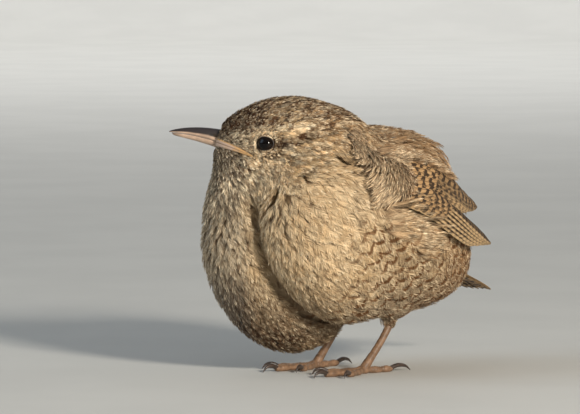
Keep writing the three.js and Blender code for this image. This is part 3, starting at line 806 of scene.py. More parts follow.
def read_path(values, share):
    """Values along each path at shares of its length, straight on beyond its end."""
    last = values.shape[1] - 1
    scaled = share * last
    index = np.clip(scaled.astype(int), 0, last - 1)
    weight = (scaled - index)[..., None]
    rows = np.arange(len(values))[:, None]
    return mix(values[rows, index], values[rows, index + 1], weight)


def tufted(paths, outward, widths, barbs, barb_width, looseness, random, reach=(0.4, 0.2)):
    """Barbs of soft feathers on both sides of their shafts, as narrow tapered ribbons.

    reach is how far the first and the last barbs run along their feather, as shares of its length. Gives
    the points, the triangles and, for each point, its share along the feather, its place across it, the
    number of its feather and the tone of its barb."""
    count = len(paths)
    total = 2 * barbs
    number = np.arange(total)
    side = np.where(number % 2 == 0, -1.0, 1.0)[None, :]
    rank = (number // 2 + 0.5) / barbs
    lengths = np.sum(np.linalg.norm(np.diff(paths, axis=1), axis=-1), axis=1)
    shape = (count, total)

    def shared_by(barbs_together):
        """A random number for each run of neighbouring barbs on one side of a feather."""
        group = number // (2 * barbs_together) * 2 + number % 2
        return random.random((count, group.max() + 1))[:, group]

    root = np.clip(0.14 + 0.7 * rank + random.uniform(-0.012, 0.012, shape), 0.04, 0.88)
    lock = shared_by(3)
    tip = root + mix(reach[0], reach[1], rank) * (0.8 + 0.3 * lock + random.uniform(-0.06, 0.06, shape))
    tip = np.minimum(tip, 1.04)
    outline = np.sqrt(np.clip(1 - (np.maximum(tip - 0.56, 0) / 0.47) ** 2, 0.01, 1))
    spread = 0.5 * outline * (0.8 + 0.28 * lock) * widths[:, None] * side
    sway = random.normal(0, 0.05, (count, 1)) * lengths[:, None]
    ruffle = random.normal(0, looseness, shape) + looseness * (shared_by(3) - 0.5) * 2

    stations = np.stack((root, mix(root, tip, 0.5), tip), axis=-1)
    lateral = np.stack((np.zeros(shape), spread * 0.62, spread), axis=-1)
    lateral = lateral + (sway[..., None] * stations**2)
    lift = np.stack((np.zeros(shape), 0.3 * ruffle, ruffle), axis=-1)
    flat = stations.reshape(count, -1)
    centre = read_path(paths, flat)
    normal = unit(read_path(outward, flat))
    behind = read_path(paths, flat - 0.05 * (flat > 0.9))
    ahead = unit(read_path(paths, np.minimum(flat + 0.05, 1.1)) - behind)
    across = np.cross(ahead, normal)
    camber = -0.25 * (lateral / widths[:, None, None]) ** 2 * widths[:, None, None]
    middle = centre + across * lateral.reshape(count, -1)[..., None]
    middle = middle + normal * (lift + camber).reshape(count, -1)[..., None]
    middle = middle.reshape(count, total, 3, 3)
    normal = normal.reshape(count, total, 3, 3)

    heading = unit(middle[:, :, 2] - middle[:, :, 0])
    flatways = unit(np.cross(heading, normal[:, :, 1]))
    roll = random.normal(0, 0.4, shape)[..., None]
    widthways = flatways * np.cos(roll) + normal[:, :, 1] * np.sin(roll)
    half = 0.5 * barb_width * random.uniform(0.75, 1.25, shape)[..., None]
    a = middle[:, :, 0] - widthways * half * 0.8
    b = middle[:, :, 0] + widthways * half * 0.8
    c = middle[:, :, 1] - widthways * half
    d = middle[:, :, 1] + widthways * half
    points = np.stack((a, b, c, d, middle[:, :, 2]), axis=2)

    start = (np.arange(count * total) * 5)[:, None, None]
    triangles = (start + np.array(((0, 1, 3), (0, 3, 2), (2, 3, 4)))).reshape(-1, 3)
    along = np.stack((root, root, stations[..., 1], stations[..., 1], tip), axis=-1)
    over = np.stack([lateral[..., k] for k in (0, 0, 1, 1, 2)], axis=-1) / widths[:, None, None] + 0.5
    feather = np.broadcast_to(np.arange(count)[:, None, None], along.shape)
    strand = np.broadcast_to(mix(shared_by(2), random.random(shape), 0.3)[..., None], along.shape)
    return points.reshape(-1, 3), triangles, *(values.ravel() for values in (along, over, feather, strand))


def add_coat_piece(name, palette, feathers, chosen, barbs, barb_width, looseness, random, reach=(0.4, 0.2)):
    """A piece of the coat with its markings and its bake map.

    feathers holds the roots, paths, outward directions, widths, marks, patterns and tones of many feathers,
    and chosen picks those of this piece."""
    roots, paths, outward, widths, marks, patterns, tone = (rows[chosen] for rows in feathers)
    tuft = tufted(paths, outward, widths, barbs, barb_width, looseness, random, reach)
    points, triangles, along, across, feather, strand = tuft
    piece = add_piece(name, points, triangles, plumage_material("Contour feathers", palette))
    add_channels(piece.data, "tuft", along, across, tone[feather], strand)
    add_values(piece.data, "marks", "FLOAT_COLOR", marks[feather])
    add_values(piece.data, "bars", "FLOAT", patterns[feather, 0])
    add_values(piece.data, "flecks", "FLOAT", patterns[feather, 1])
    patch = np.stack((across - 0.5, along - 0.5), axis=-1) * BAKE_PATCH
    add_bake_map(piece.data, skin_map(roots)[feather] + patch)


# Materials


class Nodes:
    """Short ways to add nodes and link them."""

    def __init__(self, tree):
        self.tree = tree

    def add(self, kind, inputs=None, **settings):
        node = self.tree.nodes.new(kind)
        for key, value in settings.items():
            setattr(node, key, value)
        for key, value in (inputs or {}).items():
            self.feed(node.inputs[key], value)
        return node

    def feed(self, socket, value):
        if isinstance(value, bpy.types.NodeSocket):
            self.tree.links.new(value, socket)
        elif isinstance(value, (tuple, list)) and len(value) == 3 and socket.type == "RGBA":
            socket.default_value = (*value, 1)
        else:
            socket.default_value = value

    def math(self, operation, a, b=0.0, clamp=False):
        return self.add("ShaderNodeMath", {0: a, 1: b}, operation=operation, use_clamp=clamp).outputs[0]

    def plus(self, a, b, clamp=False):
        return self.math("ADD", a, b, clamp)

    def minus(self, a, b):
        return self.math("SUBTRACT", a, b)

    def times(self, a, b, clamp=False):
        return self.math("MULTIPLY", a, b, clamp)

    def gap(self, a, b):
        """How far two values are apart."""
        return self.math("ABSOLUTE", self.minus(a, b))

    def blend(self, factor, a, b, mode="MIX"):
        node = self.add("ShaderNodeMix", data_type="RGBA", blend_type=mode, clamp_factor=True)
        for key, value in ((0, factor), (6, a), (7, b)):
            self.feed(node.inputs[key], value)
        return node.outputs[2]

    def ramp(self, value, low, high, start=0.0, end=1.0):
        keys = {"Value": value, "From Min": low, "From Max": high, "To Min": start, "To Max": end}
        return self.add("ShaderNodeMapRange", keys, interpolation_type="SMOOTHSTEP").outputs[0]

    def noise(self, vector, scale, detail=2.0):
        keys = {"Vector": vector, "Scale": scale, "Detail": detail}
        return self.add("ShaderNodeTexNoise", keys).outputs["Fac"]

    def wander(self, vector, scale, amount):
        """A noise that swings about zero."""
        return self.times(self.minus(self.noise(vector, scale), 0.5), amount)

    def attribute(self, name, output="Fac"):
        return self.add("ShaderNodeAttribute", attribute_name=name).outputs[output]

    def channels(self, name):
        """The three numbers of a colour that is stored on the mesh."""
        return self.add("ShaderNodeSeparateColor", {0: self.attribute(name, "Color")}).outputs

    def position(self):
        return self.add("ShaderNodeTexCoord").outputs["Object"]

    def finish(self, colour, height=None, distance=0.0, strength=1.0):
        """Feeds the material's shader with a colour and, where there is one, the height of its bumps."""
        shader = self.tree.nodes["Principled BSDF"]
        self.feed(shader.inputs["Base Color"], colour)
        if height is not None:
            bumps = {"Height": height, "Distance": distance, "Strength": strength}
            self.feed(shader.inputs["Normal"], self.add("ShaderNodeBump", bumps).outputs[0])


def new_group(name, colours, factors, outputs):
    """A shader node group that is given colours, factors and a position, its node helper and its sockets."""
    group = bpy.data.node_groups.new(name, "ShaderNodeTree")
    for kind, labels in (("Color", colours), ("Float", factors), ("Vector", ("Position",))):
        for label in labels:
            group.interface.new_socket(label, in_out="INPUT", socket_type=f"NodeSocket{kind}")
    for label, kind in outputs.items():
        group.interface.new_socket(label, in_out="OUTPUT", socket_type=f"NodeSocket{kind}")
    nodes = Nodes(group)
    return group, nodes, nodes.add("NodeGroupInput").outputs, nodes.add("NodeGroupOutput").inputs


SCALLOP_ROWS_PER_METRE = 215.0
SCALLOPS_PER_METRE = 205.0
BARS_PER_METRE = 450.0
BARBS_PER_METRE = 22000.0


def plumage_markings_group():
    """The colour of the coat and of the skin under it, from the shares of each marking."""
    colours = ("Buff", "Dark", "Bar", "Cream", "Grey", "Rufous")
    factors = ("Dark Share", "Cream Share", "Grey Share", "Rufous Share", "Bars")
    group, nodes, given, result = new_group("Plumage Markings", colours, factors, {"Color": "Color"})
    position = given["Position"]
    mottle = nodes.ramp(nodes.noise(position, 260.0, 3.0), 0.3, 0.7, 0.0, 0.35)
    ground = nodes.blend(mottle, given["Buff"], given["Cream"])
    for label in ("Grey", "Rufous", "Cream"):
        ground = nodes.blend(given[f"{label} Share"], ground, given[label])
    streaks = nodes.ramp(nodes.noise(position, 900.0), 0.35, 0.65, -0.3, 0.3)
    share = nodes.plus(given["Dark Share"], nodes.times(streaks, given["Dark Share"]), True)
    ground = nodes.blend(share, ground, given["Dark"])

    wobble = nodes.wander(position, 420.0, 0.9)
    axes = nodes.add("ShaderNodeSeparateXYZ", {0: position}).outputs
    down = nodes.times(nodes.minus(axes[0], axes[2]), SCALLOP_ROWS_PER_METRE)
    over = nodes.plus(nodes.times(nodes.plus(axes[0], axes[2]), SCALLOPS_PER_METRE), wobble)
    aside = nodes.gap(nodes.math("FRACT", over), 0.5)
    bend = nodes.times(nodes.math("POWER", aside, 2.0), 1.7)
    stagger = nodes.add("ShaderNodeTexWhiteNoise", {"W": nodes.math("FLOOR", over)}, noise_dimensions="1D")
    shaken = nodes.plus(stagger.outputs["Value"], nodes.times(wobble, 0.35))
    run = nodes.math("FRACT", nodes.plus(nodes.plus(down, bend), shaken))
    wave = nodes.times(nodes.ramp(run, 0.56, 0.64), nodes.ramp(run, 0.94, 0.86))
    edge = nodes.times(nodes.ramp(run, 0.16, 0.02), nodes.ramp(aside, 0.48, 0.3))
    patchy = nodes.ramp(nodes.noise(position, 300.0, 1.0), 0.36, 0.5, 0.15, 1.0)
    strength = nodes.times(patchy, given["Bars"])
    ground = nodes.blend(nodes.times(nodes.times(edge, strength, True), 0.6), ground, given["Cream"])
    nodes.feed(result["Color"], nodes.blend(nodes.times(wave, strength, True), ground, given["Bar"]))
    return group


def barred_vane_group():
    """The colours of a barred wing or tail feather: wavy dark bars on brown, paler on the outer web, and
    dark lines of painted shade near both edges.
    """
    factors = ("Along", "Across", "Feather", "Paleness")
    outputs = {"Color": "Color", "Height": "Float"}
    group, nodes, given, result = new_group("Barred Vane", ("Ground", "Bar", "Pale"), factors, outputs)
    along, across, feather, paleness = (given[label] for label in factors)
    bar, pale, position = (given[label] for label in ("Bar", "Pale", "Position"))
    off_centre = nodes.gap(across, 0.5)
    wobble = nodes.times(nodes.noise(position, 800.0, 1.0), 0.7)
    phase = nodes.plus(nodes.times(along, BARS_PER_METRE), nodes.times(off_centre, 0.8))
    phase = nodes.plus(phase, nodes.plus(wobble, nodes.times(feather, 3.0)))
    broken = nodes.ramp(nodes.noise(position, 1300.0, 1.0), 0.3, 0.46, 0.45, 1.0)
    bars = nodes.times(nodes.ramp(nodes.math("PINGPONG", phase, 0.5), 0.2, 0.3), broken)
    outer = nodes.ramp(across, 0.66, 0.74)
    lanes = {0: nodes.times(across, 26.0), 1: nodes.times(along, 260.0), 2: nodes.times(feather, 40.0)}
    streak = nodes.noise(nodes.add("ShaderNodeCombineXYZ", lanes).outputs[0], 1.0)
    outer_pale = nodes.times(paleness, outer, True)
    inner_dark = nodes.times(nodes.minus(1.0, outer), paleness, True)
    colour = given["Ground"]
    for share, other in (
        (nodes.ramp(streak, 0.45, 0.7, 0.0, 0.35), pale),
        (outer_pale, pale),
        (nodes.times(inner_dark, 0.8), bar),
        (nodes.ramp(streak, 0.48, 0.3, 0.0, 0.35), bar),
        (nodes.times(bars, nodes.minus(0.94, nodes.times(outer_pale, 0.6))), bar),
        # Painted shade: a dark line just inside the pale rim of the outer edge
        (nodes.times(nodes.ramp(across, 0.74, 0.84), nodes.minus(0.6, paleness), True), bar),
        (nodes.times(nodes.ramp(across, 0.88, 0.96), 0.6), pale),
        # Painted shade along the inner edge, where the neighbouring feather overlaps it
        (nodes.times(nodes.ramp(across, 0.2, 0.06), 0.6), bar),
        (nodes.times(nodes.ramp(off_centre, 0.05, 0.02), 0.6), bar),
    ):
        colour = nodes.blend(share, colour, other)
    nodes.feed(result["Color"], colour)
    barbs = nodes.plus(nodes.times(along, BARBS_PER_METRE), nodes.times(off_centre, 30.0))
    nodes.feed(result["Height"], nodes.plus(nodes.math("SINE", barbs), nodes.times(streak, 6.0)))
    return group


def mottled_surface_group():
    """Fine mottling of horn and bare skin: a colour between two and a height for its bumps."""
    outputs = {"Color": "Color", "Height": "Float"}
    group, nodes, given, result = new_group("Mottled Surface", ("Color A", "Color B"), ("Scale",), outputs)
    coarse = nodes.noise(given["Position"], given["Scale"], 3.0)
    fine = nodes.noise(given["Position"], 3600.0)
    colour = nodes.blend(nodes.ramp(coarse, 0.35, 0.65), given["Color A"], given["Color B"])
    nodes.feed(result["Color"], colour)
    nodes.feed(result["Height"], nodes.plus(coarse, nodes.times(fine, 0.4)))
    return group


GROUP_MAKERS = {
    "Plumage Markings": plumage_markings_group,
    "Barred Vane": barred_vane_group,
    "Mottled Surface": mottled_surface_group,
}


def group_node(nodes, name, inputs):
    group = bpy.data.node_groups.get(name) or GROUP_MAKERS[name]()
    return nodes.add("ShaderNodeGroup", inputs, node_tree=group).outputs


def mottled(nodes, colour, darkening, scale):
    """A mottling between a colour and the same colour darkened."""
    darker = tuple(darkening * v for v in colour)
    inputs = {"Color A": tuple(colour), "Color B": darker, "Scale": scale, "Position": nodes.position()}
    return group_node(nodes, "Mottled Surface", inputs)


def new_material(name, roughness, **constants):
    """A material and its node helper, with constants set on the shader's own sockets."""
    material = bpy.data.materials.new(name)
    material.use_nodes = True
    sockets = material.node_tree.nodes["Principled BSDF"].inputs
    sockets["Roughness"].default_value = roughness
    for key, value in constants.items():
        sockets[key.replace("_", " ")].default_value = value
    return material, Nodes(material.node_tree)


def linear(colour):
    """A colour given as sRGB from 0 to 255, in linear light."""
    return tuple(((v / 255 + 0.055) / 1.055) ** 2.4 if v > 10 else v / 255 / 12.92 for v in colour)


def plumage_material(name, palette, skin=False):
    """The coat's material. The skin's is the same without the run of colour along each feather."""
    made = bpy.data.materials.get(name)
    if made:
        return made
    material, nodes = new_material(name, 0.78, Specular_IOR_Level=0.25, Sheen_Weight=0.0)
    position = nodes.position()
    inputs = {"Buff": tuple(palette.buff), "Bar": tuple(palette.shade), "Position": position}
    inputs["Bars"] = nodes.attribute("bars")
    shares = (*nodes.channels("marks")[:3], nodes.attribute("marks", "Alpha"))
    for label, share in zip(("Dark", "Cream", "Grey", "Rufous"), shares):
        inputs[label] = tuple(getattr(palette, label.lower()))
        inputs[f"{label} Share"] = share
    colour = group_node(nodes, "Plumage Markings", inputs)["Color"]
    if skin:
        colour = nodes.blend(0.35, colour, tuple(palette.down))
        nodes.finish(colour, nodes.noise(position, 1400.0, 3.0), 0.0003)
        return material
    along, _, tone = nodes.channels("tuft")[:3]
    strand = nodes.attribute("tuft", "Alpha")
    colour = nodes.blend(nodes.ramp(along, 0.22, 0.55), tuple(palette.down), colour)
    tip = nodes.times(nodes.ramp(along, 0.84, 0.95), nodes.ramp(strand, 0.3, 0.8))
    colour = nodes.blend(nodes.times(tip, 0.7), colour, tuple(palette.cream))
    shade = nodes.times(nodes.ramp(strand, 0.1, 0.42, 1.0, 0.0), nodes.attribute("flecks"))
    colour = nodes.blend(nodes.times(shade, 0.65), colour, tuple(palette.shade))
    bright = nodes.plus(nodes.plus(nodes.times(tone, 0.3), nodes.times(strand, 0.6)), 0.6)
    level = nodes.add("ShaderNodeCombineColor", {0: bright, 1: bright, 2: bright}).outputs[0]
    nodes.finish(nodes.blend(1.0, colour, level, "MULTIPLY"))
    return material


def vane_material(name, palette, paleness, tone=1.0):
    """A wing or tail feather's material: bars, shaft and the fine relief of its barbs."""
    made = bpy.data.materials.get(name)
    if made:
        return made
    material, nodes = new_material(name, 0.62, Specular_IOR_Level=0.35)
    inputs = dict(zip(("Along", "Across", "Feather"), nodes.channels("vane")))
    inputs.update({
        "Ground": tuple(tone * v for v in palette.wing),
        "Bar": tuple(palette.wing_bar),
        "Pale": tuple(tone * v for v in palette.wing_pale),
        "Paleness": paleness,
        "Position": nodes.position(),
    })
    vane = group_node(nodes, "Barred Vane", inputs)
    nodes.finish(vane["Color"], vane["Height"], 0.00004, 0.6)
    return material


# Settings


def colour_setting(name, description, red, green, blue):
    return bpy.props.FloatVectorProperty(
        name=name,
        description=description,
        subtype="COLOR",
        size=3,
        min=0,
        max=1,
        default=linear((red, green, blue)),
    )


class WrenPalette(bpy.types.PropertyGroup):
    """Colours of the plumage and the bare parts."""

    buff: colour_setting("Buff", "Ground colour of breast and flanks", 200, 167, 122)
    cream: colour_setting("Cream", "Brow, throat and pale feather tips", 236, 216, 182)
    # Grey also paints shade on the right side of throat and breast
    grey: colour_setting("Grey", "Breast side and lower belly", 150, 136, 118)
    rufous: colour_setting("Rufous", "Back, nape and rear", 164, 122, 82)
    shade: colour_setting("Shade", "Brown flecks between pale feather tips", 118, 82, 50)
    # Dark also paints shade in the breast's parting, in the gap between cheek and shoulder, low under the
    # body and on the lower right breast
    dark: colour_setting("Dark", "Crown, eye stripe and bars", 62, 36, 19)
    down: colour_setting("Down", "Hidden base of the feathers", 114, 92, 70)
    wing: colour_setting("Wing", "Ground colour of wing and tail", 184, 145, 99)
    wing_bar: colour_setting("Wing bars", "Dark bars of wing and tail", 36, 22, 12)
    wing_pale: colour_setting("Wing edges", "Pale outer webs of the primaries", 204, 172, 128)
    horn: colour_setting("Horn", "Ridge of the bill", 50, 44, 44)
    pink_horn: colour_setting("Pink horn", "Sides of the bill", 200, 170, 146)
    gape: colour_setting("Gape", "Corner of the mouth", 200, 156, 102)
    leg: colour_setting("Leg", "Scaled skin of legs and toes", 142, 110, 84)
    claw: colour_setting("Claw", "Claws", 74, 60, 52)
    eye: colour_setting("Eye", "Iris and pupil", 9, 6, 5)
    lid: colour_setting("Lid", "Bare rim of the eyelids", 44, 34, 28)
    floor: colour_setting("Floor", "Floor and backdrop", 208, 206, 200)


def number_setting(name, description, default, low, high, kind=bpy.props.FloatProperty, **more):
    return kind(name=name, description=description, default=default, min=low, max=high, **more)


class WrenCoat(bpy.types.PropertyGroup):
    """How the feathers of the coat are grown, in millimetres."""

    seed: number_setting("Seed", "Start of the random numbers", 11, 0, 9999, bpy.props.IntProperty)
    body_gap: number_setting("Body spacing", "Distance between body feathers", 1.72, 0.8, 4)
    torso_length: number_setting("Body length", "Length of a body feather", 9.8, 3, 20)
    torso_width: number_setting("Body width", "Width of a body feather", 3.9, 0.5, 8)
    torso_barbs: number_setting(
        "Body barbs", "Barbs on each side of a body feather", 28, 4, 40, bpy.props.IntProperty
    )
    head_density: number_setting("Head density", "Head feathers to a square millimetre", 3.7, 0.5, 12)
    barb_width: number_setting("Barb width", "Width of a barb of a body feather", 0.13, 0.05, 0.5)


class WrenStage(bpy.types.PropertyGroup):
    """Camera and light."""

    azimuth: number_setting("Azimuth", "Camera's turn round the bird in degrees", -42.0, -360, 360)
    elevation: number_setting("Elevation", "Camera's height angle in degrees", 4.0, -90, 90)
    distance: number_setting(
        "Distance", "From the camera to the bird", 1.1, 0.1, 10, subtype="DISTANCE", unit="LENGTH"
    )
    frame_width: number_setting(
        "Frame width", "Width of the view at the bird", 0.1349, 0.01, 2, subtype="DISTANCE", unit="LENGTH"
    )
    key_power: number_setting("Key light", "Power of the main light", 15.6, 0, 1000, unit="POWER")
    sky: number_setting("Sky light", "Strength of the light all round", 0.24, 0, 10)


def settings(context):
    scene = context.scene
    return scene.wren_palette, scene.wren_coat, scene.wren_stage


# Operators


class WREN_OT_skin(bpy.types.Operator):
    """Builds one skin under the feathers of head, torso and thighs"""

    bl_idname = "wren.skin"
    bl_label = "Skin"
    voxel = 0.45

    def execute(self, context):
        palette, _, _ = settings(context)

        def under_torso(points):
            return body_distance(points) + coat_depth(points)

        def under_head(points):
            return np.maximum(coat_distance(points) + coat_depth(points), -neck_side(points) - 2)

        def under_thighs(points):
            return thigh_distance(points) + 0.9

        thigh = THIGH_STATIONS[1][0]
        mesh = bmesh.new()
        for centre, distance, fineness, reach in (
            (TORSO_CENTRE, under_torso, 6, 75.0),
            (HEAD_MIDDLE, under_head, 6, 75.0),
            (thigh, under_thighs, 4, 14.0),
            (thigh * MIRRORED, under_thighs, 4, 14.0),
        ):
            made = bmesh.ops.create_icosphere(mesh, subdivisions=fineness, radius=1)["verts"]
            rays = unit(np.array([v.co for v in made]))
            for vertex, point in zip(made, place(exits(centre, rays, distance, reach))):
                vertex.co = point
        data = bpy.data.meshes.new("skin")
        mesh.to_mesh(data)
        mesh.free()
        skin = bpy.data.objects.new("skin", data)
        context.scene.collection.objects.link(skin)
        remesh = skin.modifiers.new("weld", "REMESH")
        remesh.mode = "VOXEL"
        remesh.voxel_size = self.voxel * MILLIMETRE
        relax = skin.modifiers.new("relax", "SMOOTH")
        relax.iterations = 4
        context.view_layer.update()
        welded = bpy.data.meshes.new_from_object(skin.evaluated_get(context.evaluated_depsgraph_get()))
        skin.modifiers.clear()
        skin.data = welded
        if len(welded.vertices) < 1000:
            raise RuntimeError("the skin came out empty")
        welded.polygons.foreach_set("use_smooth", np.full(len(welded.polygons), True))
        flat = np.empty(len(welded.vertices) * 3, np.float32)
        welded.vertices.foreach_get("co", flat)
        points = flat.reshape(-1, 3).astype(float) / MILLIMETRE - SHIFT
        marks, patterns = markings(points, unit(gradient(points, body_distance)))
        add_values(welded, "marks", "FLOAT_COLOR", marks)
        add_values(welded, "bars", "FLOAT", patterns[:, 0])
        add_bake_map(welded, skin_map(points))
        flesh = ("head", "torso", "left_thigh", "right_thigh")
        finish_piece(skin, plumage_material("Skin", palette, skin=True), flesh)
        return {"FINISHED"}


def in_gape(points):
    """Whether points lie over the bare corner of the mouth."""
    forward, _, up = head_places(points)
    reach = forward - MOUTH_FORWARD
    along = reach / MOUTH_LENGTH
    line = MOUTH_UP + MOUTH_SLOPE * reach - MOUTH_CURVE * reach**2 + GAPE_LIFT * (1 - along / 0.4)
    return (np.abs(up - line) < 0.62 * gape_half_height(along)) & (along > 0.08) & (along < 0.45)


def clear_of_face_parts(paths):
    """Whether feathers keep clear of eyes, bill and the corners of the mouth."""
    clear = ~np.any(in_bill(paths, 0.12), axis=1) & ~np.any(in_gape(paths[:, 2:]), axis=1)
    for centre, outward in EYES.values():
        sideways, upwards, ahead = np.moveaxis((paths - centre) @ basis(outward).T, -1, 0)
        reach = np.hypot(sideways, upwards * EYE_NARROWING)
        clear &= ~np.any((reach < LID_RADIUS + 0.05) & (ahead > 0), axis=1)
    return clear


def clear_of_neck_gap(paths):
    """Whether feathers leave open the gap between cheek and shoulder, where its shade is painted."""
    reach = np.linalg.norm(from_neck_gap(paths) * (1.0, 0.5, 0.7), axis=-1)
    return ~np.any(reach < NECK_GAP_CLEARANCE, axis=1)


class WREN_OT_body_feathers(bpy.types.Operator):
    """Grows the contour feathers of breast, belly, flanks and back"""

    bl_idname = "wren.body_feathers"
    bl_label = "Body feathers"
    regions = ("rear_left", "left_flank", "breast", "right_flank", "rear_right", "back")
    torso_candidates = 36000
    thigh_candidates = 3000
    thigh_reach = 13.0

    def execute(self, context):
        palette, coat, _ = settings(context)
        random = np.random.default_rng(coat.seed)

        def size(points):
            turned = np.degrees(np.arctan2(np.abs(points[:, 1]), -points[:, 0]))
            return mix(0.55, 1.0, smoothstep(turned, 38, 74) * smoothstep(-neck_side(points), 2, 16))

        roots = scattered(TORSO_CENTRE, body_distance, lambda _: 9.0, self.torso_candidates, random)
        roots = roots[neck_side(roots) < 0.5]
        roots = roots[spaced(roots, coat.body_gap * size(roots), random)]
        thighs = []
        for side in SIDES.values():
            centre = THIGH_STATIONS[1][0] * (1, side, 1)

            def one_thigh(points):
                from_centre = np.linalg.norm(points - centre, axis=-1)
                return np.maximum(thigh_distance(points), from_centre - self.thigh_reach)

            found = scattered(centre, one_thigh, lambda _: 1.2, self.thigh_candidates, random)
            thighs.append(found[(body_distance(found) > 0.2) & (np.abs(thigh_distance(found)) < 0.3)])
        roots = np.vstack((roots, *thighs))
        lengths = coat.torso_length * size(roots) * random.uniform(0.86, 1.14, len(roots))
        lengths = lengths * mix(1.0, 0.5, smoothstep(-thigh_distance(roots), -1.5, 0.5))
        fringe = smoothstep(roots[:, 0], 12, 26) * smoothstep(roots[:, 2], 40, 47)
        lengths = lengths * (1 + 0.4 * fringe)
        lift = random.uniform(-0.1, 0.3, len(roots))
        lift = lift + fringe * random.uniform(0, 1.0, len(roots)) ** 2 * 2.2
        depth = np.minimum(coat_depth(roots), 1.7)

        def flow(points, normals, _):
            return unit(coat_flow(points, normals) + sway)

        sway = random.normal(0, 0.09, (len(roots), 3))
        paths, outward = grow_paths(roots, lengths, -depth, lambda p: lift, flow)
        kept = clear_of_face_parts(paths) & clear_of_neck_gap(paths)
        paths, outward, roots, lengths = paths[kept], outward[kept], roots[kept], lengths[kept]
        widths = coat.torso_width * random.uniform(0.85, 1.15, len(roots)) * lengths / coat.torso_length
        marks, patterns = markings(paths[:, -2], outward[:, -2])
        tone = random.random(len(roots))

        angle = np.degrees(np.arctan2(roots[:, 1], -(roots[:, 0] - 2)))
        sector = np.select([angle > edge for edge in (108, 36, -36, -108)], (4, 3, 2, 1), 0)
        sector[(roots[:, 2] > 47) & (roots[:, 0] > -6)] = self.regions.index("back")
        feathers = (roots, paths, outward, widths, marks, patterns, tone)
        for number, region in enumerate(self.regions):
            chosen = sector == number
            barbs = round(coat.torso_barbs * min(np.mean(lengths[chosen]) / coat.torso_length, 1))
            add_coat_piece(f"{region}_coat", palette, feathers, chosen, barbs, coat.barb_width, 0.1, random)
        return {"FINISHED"}


class WREN_OT_head_feathers(bpy.types.Operator):
    """Grows the short feathers of crown, nape, cheeks, throat and face"""

    bl_idname = "wren.head_feathers"
    bl_label = "Head feathers"
    candidates = 30000
    rim_feathers = 260

    def execute(self, context):
        palette, coat, _ = settings(context)
        random = np.random.default_rng(coat.seed + 1)

        def face_share(points):
            return 1 - smoothstep(np.linalg.norm(points - BILL_ROOT, axis=-1), 4.0, 12.0)

        def density(points):
            near_eye = 1 - smoothstep(eye_reach(points), 3.0, 5.5)
            return coat.head_density * (1 + 1.6 * np.maximum(face_share(points), near_eye))

        roots = scattered(HEAD_MIDDLE, coat_distance, density, self.candidates, random)
        roots = roots[(neck_side(roots) > -0.5) & ~in_bill(roots, 0.05)]
        rims = [roots[eye_reach(roots) > EYE_RADIUS]]
        for eye, outward in EYES.values():
            angle = random.uniform(0, 2 * math.pi, self.rim_feathers)
            reach = LID_RADIUS + random.uniform(0.2, 0.75, self.rim_feathers)
            upwards = reach * np.sin(angle) / EYE_NARROWING
            ring = np.broadcast_arrays(reach * np.cos(angle), upwards, EYE_SUNK + 0.3)
            rims.append(eye + np.stack(ring, axis=-1) @ basis(outward))
        roots = np.vstack(rims)
        face = face_share(roots)
        near_eye = 1 - smoothstep(eye_reach(roots), 2.8, 6.0)
        lengths = mix(4.6, 1.5, np.maximum(face, 0.9 * near_eye))
        lengths = mix(lengths, 6.0, smoothstep(-neck_side(roots), -6.0, 0.0))
        lengths = mix(1.0, lengths, smoothstep(eye_reach(roots), 2.7, 3.4))
        lengths = lengths * random.uniform(0.8, 1.2, len(roots))
        depth = np.minimum(coat_depth(roots), 1.0)
        lift = random.uniform(0.0, 0.38, len(roots)) * mix(1.0, 0.5, face)
        sway = random.normal(0, 0.12, (len(roots), 3))

        def flow(points, normals, _):
            return unit(coat_flow(points, normals) + sway)

        paths, outward = grow_paths(roots, lengths, -depth, lambda p: lift, flow)
        kept = clear_of_face_parts(paths) & clear_of_neck_gap(paths)
        paths, outward, roots, lengths = paths[kept], outward[kept], roots[kept], lengths[kept]
        face = face[kept]
        widths = np.clip(lengths * 0.3, 0.45, 2.0) * random.uniform(0.8, 1.2, len(roots))
        marks, patterns = markings(paths[:, -2], outward[:, -2])
        chance = random.random(len(roots))
        marks[:, 0] += 0.8 * patterns[:, 1] * (chance < 0.27)
        marks[:, 1] *= random.uniform(0.3, 1.1, len(roots))
        marks[:, 1] += 0.8 * patterns[:, 1] * (chance > 0.72)
        marks = np.clip(marks, 0, 1)
        tone = random.uniform(-1.5, 2.4, len(roots))
        feathers = (roots, paths, outward, widths, marks, patterns, tone)
        small = lengths < 3.0
        upper = head_places(roots)[2] > 0.5
        for name, chosen, barbs, barb_width in (
            ("crown_and_nape", ~small & upper, 9, 0.13),
            ("cheeks_and_throat", ~small & ~upper, 9, 0.13),
            ("face_feathers", small, 6, 0.11),
        ):
            add_coat_piece(name, palette, feathers, chosen, barbs, barb_width, 0.07, random)
        return {"FINISHED"}


